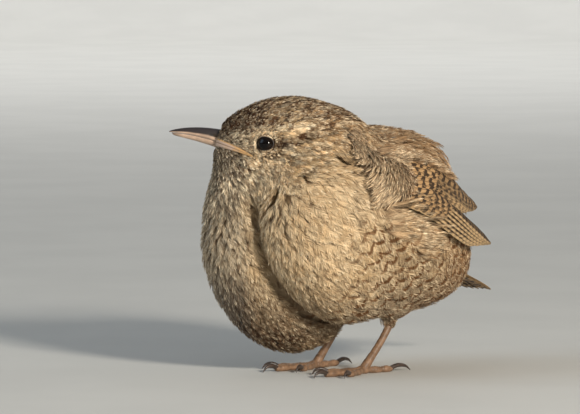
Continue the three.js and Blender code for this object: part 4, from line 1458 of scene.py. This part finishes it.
class WREN_OT_shoulder_feathers(bpy.types.Operator):
    """Grows the long soft feathers that sweep over the front, the top and the lower edge of each wing"""

    bl_idname = "wren.shoulder_feathers"
    bl_label = "Shoulder feathers"
    arcs = 1300
    scapular = 560
    lesser = 300
    flank = 420

    def of_kind(self, key, kind):
        """The values that feathers of the given kinds have under a key."""
        return np.array([values[key] for values in SHOULDER_KINDS], float)[kind]

    def roots(self, random):
        """The roots, kinds and lengths of the feathers of the left side."""
        angle = random.uniform(SHOULDER_ANGLES[0], SHOULDER_ANGLES[-1], 5 * self.arcs)
        reach = np.interp(angle, SHOULDER_ANGLES, SHOULDER_REACH)
        reach = reach * np.sqrt(random.uniform(0.03, 1, len(angle)))
        length = reach * random.uniform(0.6, 1.0, len(angle))
        length = np.minimum(length, random.uniform(6.0, 8.5, len(angle)))
        whole = angle - np.degrees(length / reach) > SHOULDER_ANGLES[0] - 8
        angle, reach, length = np.radians(angle[whole])[:, None], reach[whole][:, None], length[whole]
        spots = SHOULDER_CENTRE + reach * (np.cos(angle) * SHOULDER_REARWARD + np.sin(angle) * UP)
        spots = spots + SHOULDER_INWARD * 16
        inside = np.flatnonzero(body_distance(spots) < -2)[: self.arcs]
        arcs = exits(spots[inside], -SHOULDER_INWARD, body_distance, 40.0)

        def on_sheet(count, along, across):
            return SHEETS["covert"].flat(random.uniform(*along, count), random.uniform(*across, count))

        above = on_sheet(self.scapular, (0.02, 0.62), (0.8, 1.35))
        upon = on_sheet(self.lesser, (0.1, 0.29), (0.0, 1.05))
        below = mix(*BELOW_WING, random.random(self.flank)[:, None])
        below = below + random.normal(0, 1.3, below.shape)
        parts = (arcs, above, upon, below)
        kind = np.repeat(np.arange(4), [len(part) for part in parts])
        lengths = random.uniform(*self.of_kind("lengths", kind).T)
        lengths[: len(arcs)] = length[inside]
        return np.vstack(parts), kind, lengths

    def execute(self, context):
        palette, coat, _ = settings(context)
        random = np.random.default_rng(coat.seed + 2)
        for name, side in SIDES.items():
            roots, kind, lengths = self.roots(random)
            mirror = np.array((1, side, 1))
            roots = roots * mirror
            total = len(roots)
            sway = random.normal(0, 0.05, (total, 3))
            first, last = self.of_kind("first", kind), self.of_kind("last", kind)
            on_arc = (kind == 0)[:, None]

            def flow(points, normals, done):
                offset = points * mirror - SHOULDER_CENTRE
                beside, above = (offset @ SHOULDER_REARWARD)[:, None], offset[:, 2:3]
                round_centre = (SHOULDER_REARWARD * above - UP * beside) * mirror
                stream = mix(first, last, smoothstep(np.array(done), 0.0, 0.8))
                stream = np.where(on_arc, unit(round_centre), stream)
                return unit(across_plane(stream, normals) + sway)

            lift = random.uniform(0.1, 0.7, total) + self.of_kind("raised", kind)

            def level(points):
                return wing_level(points) + lift

            start = self.of_kind("start", kind)
            paths, outward = grow_paths(roots, lengths, start, level, flow, 8, body_distance)
            kept = clear_of_neck_gap(paths)
            paths, outward, roots, kind = paths[kept], outward[kept], roots[kept], kind[kept]
            total = len(roots)
            widths = random.uniform(1.3, 2.0, total) * self.of_kind("width", kind)
            marks, patterns = markings(paths[:, 4], outward[:, 4])
            marks[:, 0] *= self.of_kind("dark_kept", kind)
            for column, key in enumerate(("dark", "cream", "grey", "rufous")):
                marks[:, column] = np.maximum(marks[:, column], self.of_kind(key, kind))
            patterns[:, 0] *= self.of_kind("bars", kind)
            patterns[:, 1] = np.maximum(patterns[:, 1], 0.9)
            tone = random.uniform(-1.4, 2.2, total)
            feathers = (roots, paths, outward, widths, marks, patterns, tone)
            for part, chosen, barbs, looseness, reach in (
                ("shoulder", kind == 0, 6, 0.06, (0.9, 0.5)),
                ("scapular", kind > 0, 12, 0.12, (0.5, 0.3)),
            ):
                part = f"{name}_{part}_coat"
                add_coat_piece(part, palette, feathers, chosen, barbs, 0.12, looseness, random, reach)
        return {"FINISHED"}


def blade(middle, sideways, outward, half_widths, length, thickness, lanes, random):
    """A thin feather: two faces of a cambered vane with a raised shaft and a few nicks in its edge.

    middle, sideways and outward hold one row for each station along it."""
    stations = len(middle)
    across = np.linspace(-1, 1, lanes)
    nick = np.ones((stations, 2))
    for edge in (0, 1):
        for _ in range(2):
            at = random.integers(stations // 3, stations - 2)
            nick[at, edge] = random.uniform(0.8, 0.94)
    edge_scale = np.where(across < 0, nick[:, :1], nick[:, 1:])
    reach = across * half_widths[:, None] * edge_scale
    camber = -0.1 * np.abs(across) ** 1.5 * half_widths[:, None]
    shaft = 0.09 * np.exp(-((across / 0.1) ** 2)) * np.linspace(1, 0.2, stations)[:, None]
    rim = thickness * (1 - 0.8 * np.abs(across) ** 4)
    rows = []
    for face in (1, -1):
        lift = camber + face * (rim / 2 + shaft)
        grid = middle[:, None] + sideways[:, None] * reach[..., None] + outward[:, None] * lift[..., None]
        rows.append(grid if face > 0 else grid[:, ::-1])
    ring = np.concatenate(rows, axis=1)
    count = ring.shape[1]
    i, j = np.meshgrid(np.arange(stations - 1), np.arange(count), indexing="ij")
    a, b = i * count + j, i * count + (j + 1) % count
    quads = np.stack((a, b, b + count, a + count), axis=-1).reshape(-1, 4)
    k = np.arange(lanes - 1)
    caps = []
    for base, turned in ((0, False), ((stations - 1) * count, True)):
        cap = np.stack((base + k, base + k + 1, base + count - 2 - k, base + count - 1 - k), axis=-1)
        caps.append(cap[:, ::-1] if not turned else cap)
    faces = np.vstack((quads, *caps))
    along = np.broadcast_to(np.linspace(0, length * MILLIMETRE, stations)[:, None], (stations, count))
    over = np.concatenate((across, across[::-1])) * 0.5 + 0.5
    return ring.reshape(-1, 3), faces, along.ravel(), np.tile(over, stations)


VANE_PLACES = (0.0, 0.12, 0.4, 0.7, 0.86, 0.95, 1.0)
VANE_SHARES = (0.34, 0.7, 0.96, 1.0, 0.86, 0.55, 0.12)


def feather_blade(middle_of, outward_of, half_width, stations, lanes, thickness, random):
    """A vane whose middle and outward directions are functions of the share of its length."""
    t = np.linspace(0, 1, stations)
    middle, outward = middle_of(t), unit(outward_of(t))
    ahead = unit(np.gradient(middle, axis=0))
    sideways = unit(np.cross(ahead, outward))
    half_widths = half_width * np.interp(t, VANE_PLACES, VANE_SHARES)
    length = np.sum(np.linalg.norm(np.diff(middle, axis=0), axis=-1))
    return blade(middle, sideways, outward, half_widths, length, thickness, lanes, random)


def add_vanes(name, blades, kinds, material, replaces=(), mirror=False):
    """A piece of vanes, each with a random number of its own in kinds."""
    points, faces = joined_parts([vane[:2] for vane in blades])
    if mirror:
        points, faces = points * MIRRORED, faces[:, ::-1]
    piece = add_piece(name, points, faces, material, replaces)
    along, across = (np.concatenate([vane[k] for vane in blades]) for k in (2, 3))
    feather = np.repeat(kinds, [len(vane[0]) for vane in blades])
    add_channels(piece.data, "vane", along, across, feather, 1.0)


class WREN_OT_wings(bpy.types.Operator):
    """Builds both folded wings, feather by feather"""

    bl_idname = "wren.wings"
    bl_label = "Wings"

    def execute(self, context):
        palette, coat, _ = settings(context)
        for name, side in SIDES.items():
            random = np.random.default_rng(coat.seed + 3)
            for row in WING_ROWS:
                sheet = SHEETS[row["sheet"]]
                blades, kinds = [], []
                for i in range(row["count"]):
                    share = i / (row["count"] - 1)
                    root = mix(np.array(row["root"][0]), np.array(row["root"][1]), share)
                    tip = mix(np.array(row["tip"][0]), np.array(row["tip"][1]), share)
                    tip[0] += row["arch"] * 4 * share * (1 - share) + random.uniform(-0.01, 0.01)
                    tip[0] = min(tip[0], 1)
                    height = row["height"] + i * row["step"]

                    def at(t):
                        return mix(root[0], tip[0], t), mix(root[1], tip[1], t)

                    def middle(t):
                        return sheet.point(*at(t), height + 0.2 * t)

                    def outward(t):
                        return sheet.normal(*at(t))

                    half_width = row["half_width"] * random.uniform(0.88, 1.12)
                    blades.append(feather_blade(middle, outward, half_width, 26, 11, 0.14, random))
                    kinds.append(random.random())
                replaced = (f"{name}_wing",) if row["name"] == "primaries" else ()
                label = row["name"].replace("_", " ")
                material = vane_material(f"Wing {label}", palette, row["paleness"], row["tone"])
                add_vanes(f"{name}_{row['name']}", blades, kinds, material, replaced, side < 0)
        return {"FINISHED"}


class WREN_OT_tail(bpy.types.Operator):
    """Builds the twelve tail feathers"""

    bl_idname = "wren.tail"
    bl_label = "Tail"

    def execute(self, context):
        palette, coat, _ = settings(context)
        random = np.random.default_rng(coat.seed + 4)
        droop = math.radians(TAIL_DROOP)
        back = np.array((math.cos(droop), 0, -math.sin(droop)))
        lift = np.array((math.sin(droop), 0, math.cos(droop)))
        sideways = np.array((0.0, 1.0, 0.0))
        blades, kinds = [], []
        for side in (-1, 1):
            for i in range(TAIL_PAIRS):
                outer = (i + 0.5) / TAIL_PAIRS
                fan = math.radians(side * outer * TAIL_FAN)
                ahead = back * math.cos(fan) + sideways * math.sin(fan)
                length = TAIL_LENGTH * (1 - 0.16 * outer**2)
                start = TAIL_ROOT + sideways * side * outer * 1.6
                drop = -0.3 * i - (0.12 if side > 0 else 0)

                def middle(t):
                    rise = drop + 1.2 * t * (1 - t)
                    return start + ahead * (length * t)[:, None] + lift * rise[:, None]

                def outward(t):
                    return np.tile(lift, (len(t), 1))

                blades.append(feather_blade(middle, outward, TAIL_WIDTH / 2, 30, 13, 0.16, random))
                kinds.append(random.random())
        material = vane_material("Tail feathers", palette, 0.15)
        add_vanes("tail_feathers", blades, kinds, material, ("tail",))
        return {"FINISHED"}


def lofted(rings, closed_ends=True):
    """A closed skin of quads over rings of equal count, with fans at its ends."""
    rings = np.asarray(rings, float)
    stations, count = rings.shape[:2]
    i, j = np.meshgrid(np.arange(stations - 1), np.arange(count), indexing="ij")
    a, b = i * count + j, i * count + (j + 1) % count
    faces = [np.stack((a, b, b + count, a + count), axis=-1).reshape(-1, 4)]
    points = rings.reshape(-1, 3)
    if closed_ends:
        ends = np.vstack((rings[0].mean(axis=0), rings[-1].mean(axis=0)))
        first, last = len(points), len(points) + 1
        points = np.vstack((points, ends))
        k = np.arange(0, count, 2)
        after = (k + 2) % count
        top = (stations - 1) * count
        for fan in ((first, after, k + 1, k), (last, top + k, top + k + 1, top + after)):
            faces.append(np.stack(np.broadcast_arrays(*fan), axis=-1))
    return points, np.vstack(faces)


def tube(stations, radii, steps, count, ripple=None):
    """A round bar along a smooth curve through stations. ripple(t, angle) scales its radius."""
    t = np.linspace(0, 1, steps)
    centre = spline(stations, t)
    ahead = unit(np.gradient(centre, axis=0))
    side = unit(np.cross(ahead, (0.0, 1.0, 0.0)))
    other = np.cross(ahead, side)
    angle = 2 * math.pi * np.arange(count) / count
    radius = np.interp(t, np.linspace(0, 1, len(radii)), radii)[:, None] * np.ones((1, count))
    if ripple is not None:
        radius = radius * ripple(t[:, None], angle[None, :])
    ring = side[:, None] * np.cos(angle)[None, :, None] + other[:, None] * np.sin(angle)[None, :, None]
    return lofted(centre[:, None] + ring * radius[..., None])


GAPE_PLACES = np.linspace(-0.03, 0.41, 26)


def gape_half_height(along):
    return np.interp(along, (-0.03, 0.08, 0.25, 0.41), (0.2, 0.42, 0.72, 0.9))


def gape_band(side):
    """The bare corner of the mouth on one side: a low ridge along the mouth line, lying in the feathers."""
    line = bill_points(GAPE_PLACES, 0.0, GAPE_LIFT * (1 - GAPE_PLACES / 0.4))
    seats = exits(line, head_direction(0, side, 0), coat_distance)
    outward = unit(gradient(seats, body_distance))
    upwards = unit(np.cross(np.gradient(seats, axis=0), outward)) * -side
    angle = 2 * math.pi * np.arange(16) / 16
    height = gape_half_height(GAPE_PLACES)[:, None] * np.cos(angle)
    fold = 1 - 0.5 * np.exp(-((np.cos(angle) / 0.16) ** 2)) * (np.sin(angle) > 0)
    ridge = outward[:, None] * (0.3 * np.sin(angle) * fold)[:, None]
    points, faces = lofted(seats[:, None] + upwards[:, None] * height[..., None] + ridge)
    upper = np.append(np.tile(np.cos(angle) * 0.5 + 0.5, len(GAPE_PLACES)), (0.5, 0.5))
    along = np.append(np.repeat(GAPE_PLACES, 16), (GAPE_PLACES[0], GAPE_PLACES[-1]))
    return points, faces if side > 0 else faces[:, ::-1], np.stack((along, upper), axis=-1)


class WREN_OT_bill(bpy.types.Operator):
    """Builds both halves of the bill and the gape"""

    bl_idname = "wren.bill"
    bl_label = "Bill"

    def execute(self, context):
        palette, _, _ = settings(context)
        steps, corners = 46, 20
        for name, half, side, slot in (
            ("upper_bill_horn", UPPER_BILL, 1, "horn"),
            ("lower_bill_horn", LOWER_BILL, -1, "pale_horn"),
        ):
            along = mix(BILL_START, half["reach"], np.linspace(0, 1, steps) ** 0.9)
            taper = np.maximum(1 - along / half["reach"], 0)
            width = bill_half_width(along / half["reach"])
            height = half["tip"] + half["depth"] * taper ** half["power"]
            angle = math.pi * np.arange(corners + 1) / corners
            bulge = np.abs(np.sin(angle)) ** 0.8
            left = width[:, None] * np.cos(angle)
            up = side * (MOUTH_GAP / 2 + height[:, None] * bulge)
            if side > 0:
                ahead, above = ((along - 0.43) / 0.06)[:, None], (up - 1.15) / 0.3
                nostril = np.exp(-(ahead**2)) * np.exp(-(above**2))
                left = left * (1 - 0.3 * nostril)
            rings = bill_points(along[:, None], left, up)
            lip_left = width[:, None] * np.array((-0.6, 0.0, 0.6))
            lip = bill_points(along[:, None], lip_left, side * (MOUTH_GAP / 2 + 0.12))
            points, faces = lofted(np.concatenate((rings, lip), axis=1))
            material = self.material(name, palette, side > 0)
            piece = add_piece(name, points, faces, material, (name.removesuffix("_horn"),))
            share_up = np.append(np.tile(np.append(bulge, (0, 0, 0)), steps), (0, 0))
            share_along = np.append(np.repeat(along, corners + 4), (along[0], along[-1]))
            add_channels(piece.data, "horn", share_along, share_up, 0.0, 1.0)
        bands = [gape_band(side) for side in SIDES.values()]
        points, faces = joined_parts([band[:2] for band in bands])
        piece = add_piece("gape_flanges", points, faces, self.gape_material(palette))
        places = np.vstack([band[2] for band in bands])
        add_channels(piece.data, "gape", places[:, 0], places[:, 1], 0.0, 1.0)
        return {"FINISHED"}

    def material(self, name, palette, upper):
        material, nodes = new_material(name, 0.34, Specular_IOR_Level=0.5)
        along, up, _ = nodes.channels("horn")[:3]
        pink = mottled(nodes, palette.pink_horn, 0.78, 420.0)
        if upper:
            ridge = nodes.ramp(nodes.plus(up, nodes.wander(nodes.position(), 260.0, 0.24)), 0.2, 0.42)
        else:
            ridge = nodes.ramp(along, 0.8, 1.05)
        colour = nodes.blend(ridge, pink["Color"], tuple(palette.horn))
        if upper:
            # The dark nostril slit is painted shade in its groove
            ahead, aside = nodes.gap(along, 0.45), nodes.gap(up, 0.42)
            nostril = nodes.times(nodes.ramp(ahead, 0.06, 0.03), nodes.ramp(aside, 0.14, 0.05))
            colour = nodes.blend(nostril, colour, tuple(0.3 * v for v in palette.horn))
        gape_share = nodes.times(nodes.ramp(along, 0.5, 0.3, 0.0, 0.3), nodes.ramp(up, 0.8, 0.2))
        colour = nodes.blend(gape_share, colour, tuple(palette.gape))
        nodes.finish(colour, pink["Height"], 0.00005, 0.5)
        return material

    def gape_material(self, palette):
        material, nodes = new_material("Gape", 0.5)
        skin = mottled(nodes, palette.gape, 0.75, 700.0)
        along, up, _ = nodes.channels("gape")[:3]
        front = nodes.ramp(nodes.plus(along, nodes.wander(nodes.position(), 700.0, 0.3)), 0.08, 0.26)
        horn_share = nodes.times(front, nodes.ramp(up, 0.05, 0.3))
        colour = nodes.blend(horn_share, skin["Color"], tuple(palette.pink_horn))
        # Painted shade along the crease of the mouth, down the middle of the gape
        line = nodes.times(nodes.ramp(nodes.gap(up, 0.5), 0.1, 0.04), nodes.ramp(along, 0.0, 0.1))
        colour = nodes.blend(nodes.times(line, 0.7), colour, tuple(palette.shade))
        nodes.finish(colour, skin["Height"], 0.00004)
        return material


class WREN_OT_eyes(bpy.types.Operator):
    """Builds the eyes and the rims of their lids"""

    bl_idname = "wren.eyes"
    bl_label = "Eyes"
    rings = 40
    corners = 48
    lid_rings = 16
    lid_corners = 72

    def execute(self, context):
        palette, _, _ = settings(context)
        ball_material, lid_material = self.ball_material(palette), self.lid_material(palette)
        for side, (centre, outward) in EYES.items():
            rows = basis(outward)
            points, faces, turned = self.ball()
            points = centre + points @ rows
            piece = add_piece(f"{side}_eyeball", points, faces, ball_material, (f"{side}_eye",))
            add_values(piece.data, "iris", "FLOAT", turned)
            points, faces, margin = self.lids()
            piece = add_piece(f"{side}_lids", centre + points @ rows, faces, lid_material)
            add_values(piece.data, "margin", "FLOAT", margin)
        return {"FINISHED"}

    def ball(self):
        """An eyeball that bulges in front, and how far its points are turned from the pupil's middle."""
        polar = np.linspace(0.02, math.pi - 0.02, self.rings)
        angle = 2 * math.pi * np.arange(self.corners) / self.corners
        bulge = 1 + 0.04 * np.exp(-((polar / 0.7) ** 2))
        flat, ahead = np.sin(polar)[:, None], np.cos(polar)[:, None]
        rings = np.stack(np.broadcast_arrays(flat * np.cos(angle), flat * np.sin(angle), ahead), axis=-1)
        points, faces = lofted(rings * (EYE_RADIUS * bulge)[:, None, None])
        return points, faces, np.append(np.repeat(polar, self.corners), (0, math.pi))

    def lids(self):
        """The wrinkled rim that lies on an eyeball, and how far its points are from its opening."""
        corner = np.arange(self.lid_corners + 1) % self.lid_corners
        turn = (2 * math.pi * corner / self.lid_corners)[:, None]
        section = 2 * math.pi * np.arange(self.lid_rings) / self.lid_rings
        upper, lower = np.maximum(np.sin(turn), 0), np.minimum(np.sin(turn), 0)
        opening = LID_RADIUS - LID_DROP * upper**2 - LID_RISE * lower**2
        wrinkle = 1 + 0.12 * np.sin(17 * turn) + 0.1 * np.sin(31 * turn + 1)
        reach = mix(LID_RADIUS + 0.16 * wrinkle, opening, 0.5 - 0.5 * np.cos(section))
        on_ball = np.sqrt(np.maximum((1.04 * EYE_RADIUS) ** 2 - reach**2, 0)) + 0.03
        lift = np.maximum(on_ball, EYE_SUNK - 0.1) + 0.1 * wrinkle * np.sin(section)
        rings = np.stack((reach * np.cos(turn), reach * np.sin(turn), lift), axis=-1)
        points, faces = lofted(rings, closed_ends=False)
        return points, faces, (reach - opening).ravel()

    def ball_material(self, palette):
        material, nodes = new_material("Eye", 0.06, Coat_Weight=0.0, IOR=1.3)
        ring = nodes.ramp(nodes.attribute("iris"), 0.5, 0.62)
        grain = nodes.noise(nodes.position(), 2600.0, 3.0)
        iris = nodes.blend(grain, tuple(palette.eye), (0.016, 0.009, 0.005))
        nodes.finish(nodes.blend(ring, (0.004, 0.003, 0.003), iris))
        return material

    def lid_material(self, palette):
        material, nodes = new_material("Eyelids", 0.6)
        skin = mottled(nodes, palette.lid, 0.5, 1500.0)
        feathered = nodes.ramp(nodes.attribute("margin"), 0.14, 0.3)
        grain = nodes.ramp(nodes.noise(nodes.position(), 3000.0), 0.4, 0.62)
        plumes = nodes.blend(grain, tuple(palette.shade), tuple(palette.cream))
        nodes.finish(nodes.blend(feathered, skin["Color"], plumes), skin["Height"], 0.00006)
        return material


class WREN_OT_legs(bpy.types.Operator):
    """Builds the scaled legs, the toes and the claws"""

    bl_idname = "wren.legs"
    bl_label = "Legs"

    def execute(self, context):
        palette, _, _ = settings(context)
        leg_material = self.material("Leg skin", palette.leg, 0.5)
        claw_material = self.material("Claws", palette.claw, 0.35)
        under = FOOT * (1, 1, 0)
        knuckle = under + (0, 0, TARSUS_RADIUS + 0.3)
        middle = mix(ANKLE, knuckle, 0.5) + (0.5, 0, -0.3)

        def scutes(t, angle):
            front = np.clip(np.cos(angle - math.pi), 0, 1)
            step = np.mod(t * 9, 1)
            return 1 + 0.09 * (1 - step) * (0.35 + 0.65 * front)

        def toe_scutes(t, _):
            return 1 + 0.1 * (1 - np.mod(t * 11, 1))

        shank = np.array((1.35, 1, 0.95, 1, 1.3)) * TARSUS_RADIUS
        skin = [tube((ANKLE, middle, knuckle), shank, 110, 20, scutes)]
        nails = []
        for toe in TOES:
            turn = math.radians(toe["heading"])
            ahead = np.array((-math.cos(turn), -math.sin(turn), 0))
            radius, length, claw = toe["radius"], toe["length"], toe["claw"]

            def at(reach, height):
                return under + ahead * reach + (0, 0, height)

            joints = ((0, 0.5), (0.34, 0), (0.68, 0), (1, 0))
            stations = [at(length * share, TOE_AXIS + rise) for share, rise in joints]
            radii = np.array((1, 0.8, 1, 0.72, 0.94, 0.6)) * radius
            skin.append(tube(stations, radii, 66, 16, toe_scutes))
            hook = (
                at(length - 0.8, TOE_AXIS),
                at(length + claw * 0.35, TOE_AXIS + 0.75),
                at(length + claw * 0.75, TOE_AXIS + 0.45),
                at(length + claw, 0.12),
            )
            nails.append(tube(hook, np.array((0.6, 0.58, 0.36, 0.08)) * radius, 26, 12))
        pad = [under + place_on_pad for place_on_pad in ((-1.6, 0, 0.8), (0, 0, 0.9), (1.6, 0, 0.8))]
        skin.append(tube(pad, (0.35, 1.0, 1.2, 1.0, 0.35), 24, 16))
        for name, side in SIDES.items():
            mirror = np.array((1, side, 1))
            for label, parts, material, replaced in (
                ("leg_scales", skin, leg_material, (f"{name}_leg",)),
                ("claws", nails, claw_material, ()),
            ):
                points, faces = joined_parts(parts)
                points = points * mirror
                points[:, 2] = np.maximum(points[:, 2], 0.0)
                faces = faces if side > 0 else faces[:, ::-1]
                add_piece(f"{name}_{label}", points, faces, material, replaced)
        return {"FINISHED"}

    def material(self, name, colour, roughness):
        material, nodes = new_material(name, roughness)
        skin = mottled(nodes, colour, 0.6, 900.0)
        nodes.finish(skin["Color"], skin["Height"], 0.00008)
        return material


class WREN_OT_stage(bpy.types.Operator):
    """Sets up the floor, the lights and the camera"""

    bl_idname = "wren.stage"
    bl_label = "Stage"
    view_centre = np.array((-7.78, 7.0, 38.4))
    lamp_distance = 1.2
    floor_radius = 2.2
    bend_radius = 0.5
    wall_height = 2.4

    def execute(self, context):
        palette, _, stage = settings(context)
        scene = context.scene
        turn = math.radians(stage.azimuth)
        lift = math.radians(stage.elevation)
        forward = np.array((-math.sin(turn), math.cos(turn), 0))
        right = np.array((math.cos(turn), math.sin(turn), 0))
        self.floor(palette)
        target = place(self.view_centre)
        back = UP * math.sin(lift) - forward * math.cos(lift)
        data = bpy.data.cameras.new("camera")
        data.sensor_width = 36
        data.lens = data.sensor_width * stage.distance / stage.frame_width
        data.clip_start = 0.01
        scene.camera = self.aimed("camera", data, target + back * stage.distance, back)
        wall = target + forward * 2.4 + UP * 0.5
        for name, lit, (to_right, ahead, up), size, share, colour in (
            ("key", target, (0.58, -0.95, 0.42), 0.2, 1.0, (1, 0.94, 0.84)),
            ("fill", target, (-0.95, -0.2, 0.6), 0.8, 0.27, (0.62, 0.8, 1)),
            ("backdrop", wall, (0, -0.7, 0.9), 1.0, 1.4, (0.95, 0.97, 1)),
        ):
            data = bpy.data.lights.new(name, "AREA")
            data.size, data.energy, data.color = size, stage.key_power * share, colour
            towards = unit(right * to_right + forward * ahead + UP * up)
            self.aimed(name, data, lit + towards * self.lamp_distance, towards)
        world = bpy.data.worlds.new("studio")
        world.use_nodes = True
        background = world.node_tree.nodes["Background"]
        background.inputs["Color"].default_value = (0.9, 0.94, 1.0, 1)
        background.inputs["Strength"].default_value = stage.sky
        scene.world = world
        scene.view_settings.view_transform = "Standard"
        return {"FINISHED"}

    def aimed(self, name, data, location, back):
        """A camera or a lamp that looks against a direction."""
        thing = bpy.data.objects.new(name, data)
        thing.location = Vector(location)
        thing.rotation_mode = "QUATERNION"
        thing.rotation_quaternion = Vector(back).to_track_quat("Z", "Y")
        bpy.context.scene.collection.objects.link(thing)
        return thing

    def floor(self, palette):
        """A floor that curves up into a backdrop all round."""
        flat = np.maximum(np.linspace(0.0, self.floor_radius, 20), 0.001)
        bend = np.linspace(0, math.pi / 2, 48)[1:]
        wall = self.floor_radius + self.bend_radius
        radii = np.concatenate((flat, self.floor_radius + self.bend_radius * np.sin(bend), (wall,)))
        heights = np.concatenate((flat * 0, self.bend_radius * (1 - np.cos(bend)), (self.wall_height,)))
        angle = 2 * math.pi * np.arange(64) / 64
        sides = (np.outer(radii, np.cos(angle)), np.outer(radii, np.sin(angle)), heights[:, None])
        points, faces = lofted(np.stack(np.broadcast_arrays(*sides), axis=-1), closed_ends=False)
        mesh = bpy.data.meshes.new("floor")
        mesh.from_pydata(points.tolist(), [], faces.tolist())
        mesh.polygons.foreach_set("use_smooth", np.full(len(faces), True))
        floor = bpy.data.objects.new("floor", mesh)
        bpy.context.scene.collection.objects.link(floor)
        material, nodes = new_material("Floor", 0.9)
        nodes.finish(mottled(nodes, palette.floor, 0.96, 20.0)["Color"])
        mesh.materials.append(material)


PIECES = (
    WREN_OT_skin,
    WREN_OT_body_feathers,
    WREN_OT_head_feathers,
    WREN_OT_shoulder_feathers,
    WREN_OT_wings,
    WREN_OT_tail,
    WREN_OT_bill,
    WREN_OT_eyes,
    WREN_OT_legs,
    WREN_OT_stage,
)


class WREN_PT_panel(bpy.types.Panel):
    """Lists the bird's settings and pieces"""

    bl_idname = "WREN_PT_panel"
    bl_label = "Wren"
    bl_space_type = "VIEW_3D"
    bl_region_type = "UI"
    bl_category = "Wren"

    def draw(self, context):
        for group in settings(context):
            box = self.layout.box()
            for key in group.__annotations__:
                box.prop(group, key)
        for piece in PIECES:
            self.layout.operator(piece.bl_idname)


SETTINGS = {"wren_palette": WrenPalette, "wren_coat": WrenCoat, "wren_stage": WrenStage}
CLASSES = (*SETTINGS.values(), *PIECES, WREN_PT_panel)


def register():
    for item in CLASSES:
        bpy.utils.register_class(item)
    for name, group in SETTINGS.items():
        setattr(bpy.types.Scene, name, bpy.props.PointerProperty(type=group))


def unregister():
    for name in SETTINGS:
        delattr(bpy.types.Scene, name)
    for item in reversed(CLASSES):
        bpy.utils.unregister_class(item)


def main():
    register()
    for piece in PIECES:
        getattr(bpy.ops.wren, piece.bl_idname.split(".")[1])()


if __name__ == "__main__":
    main()
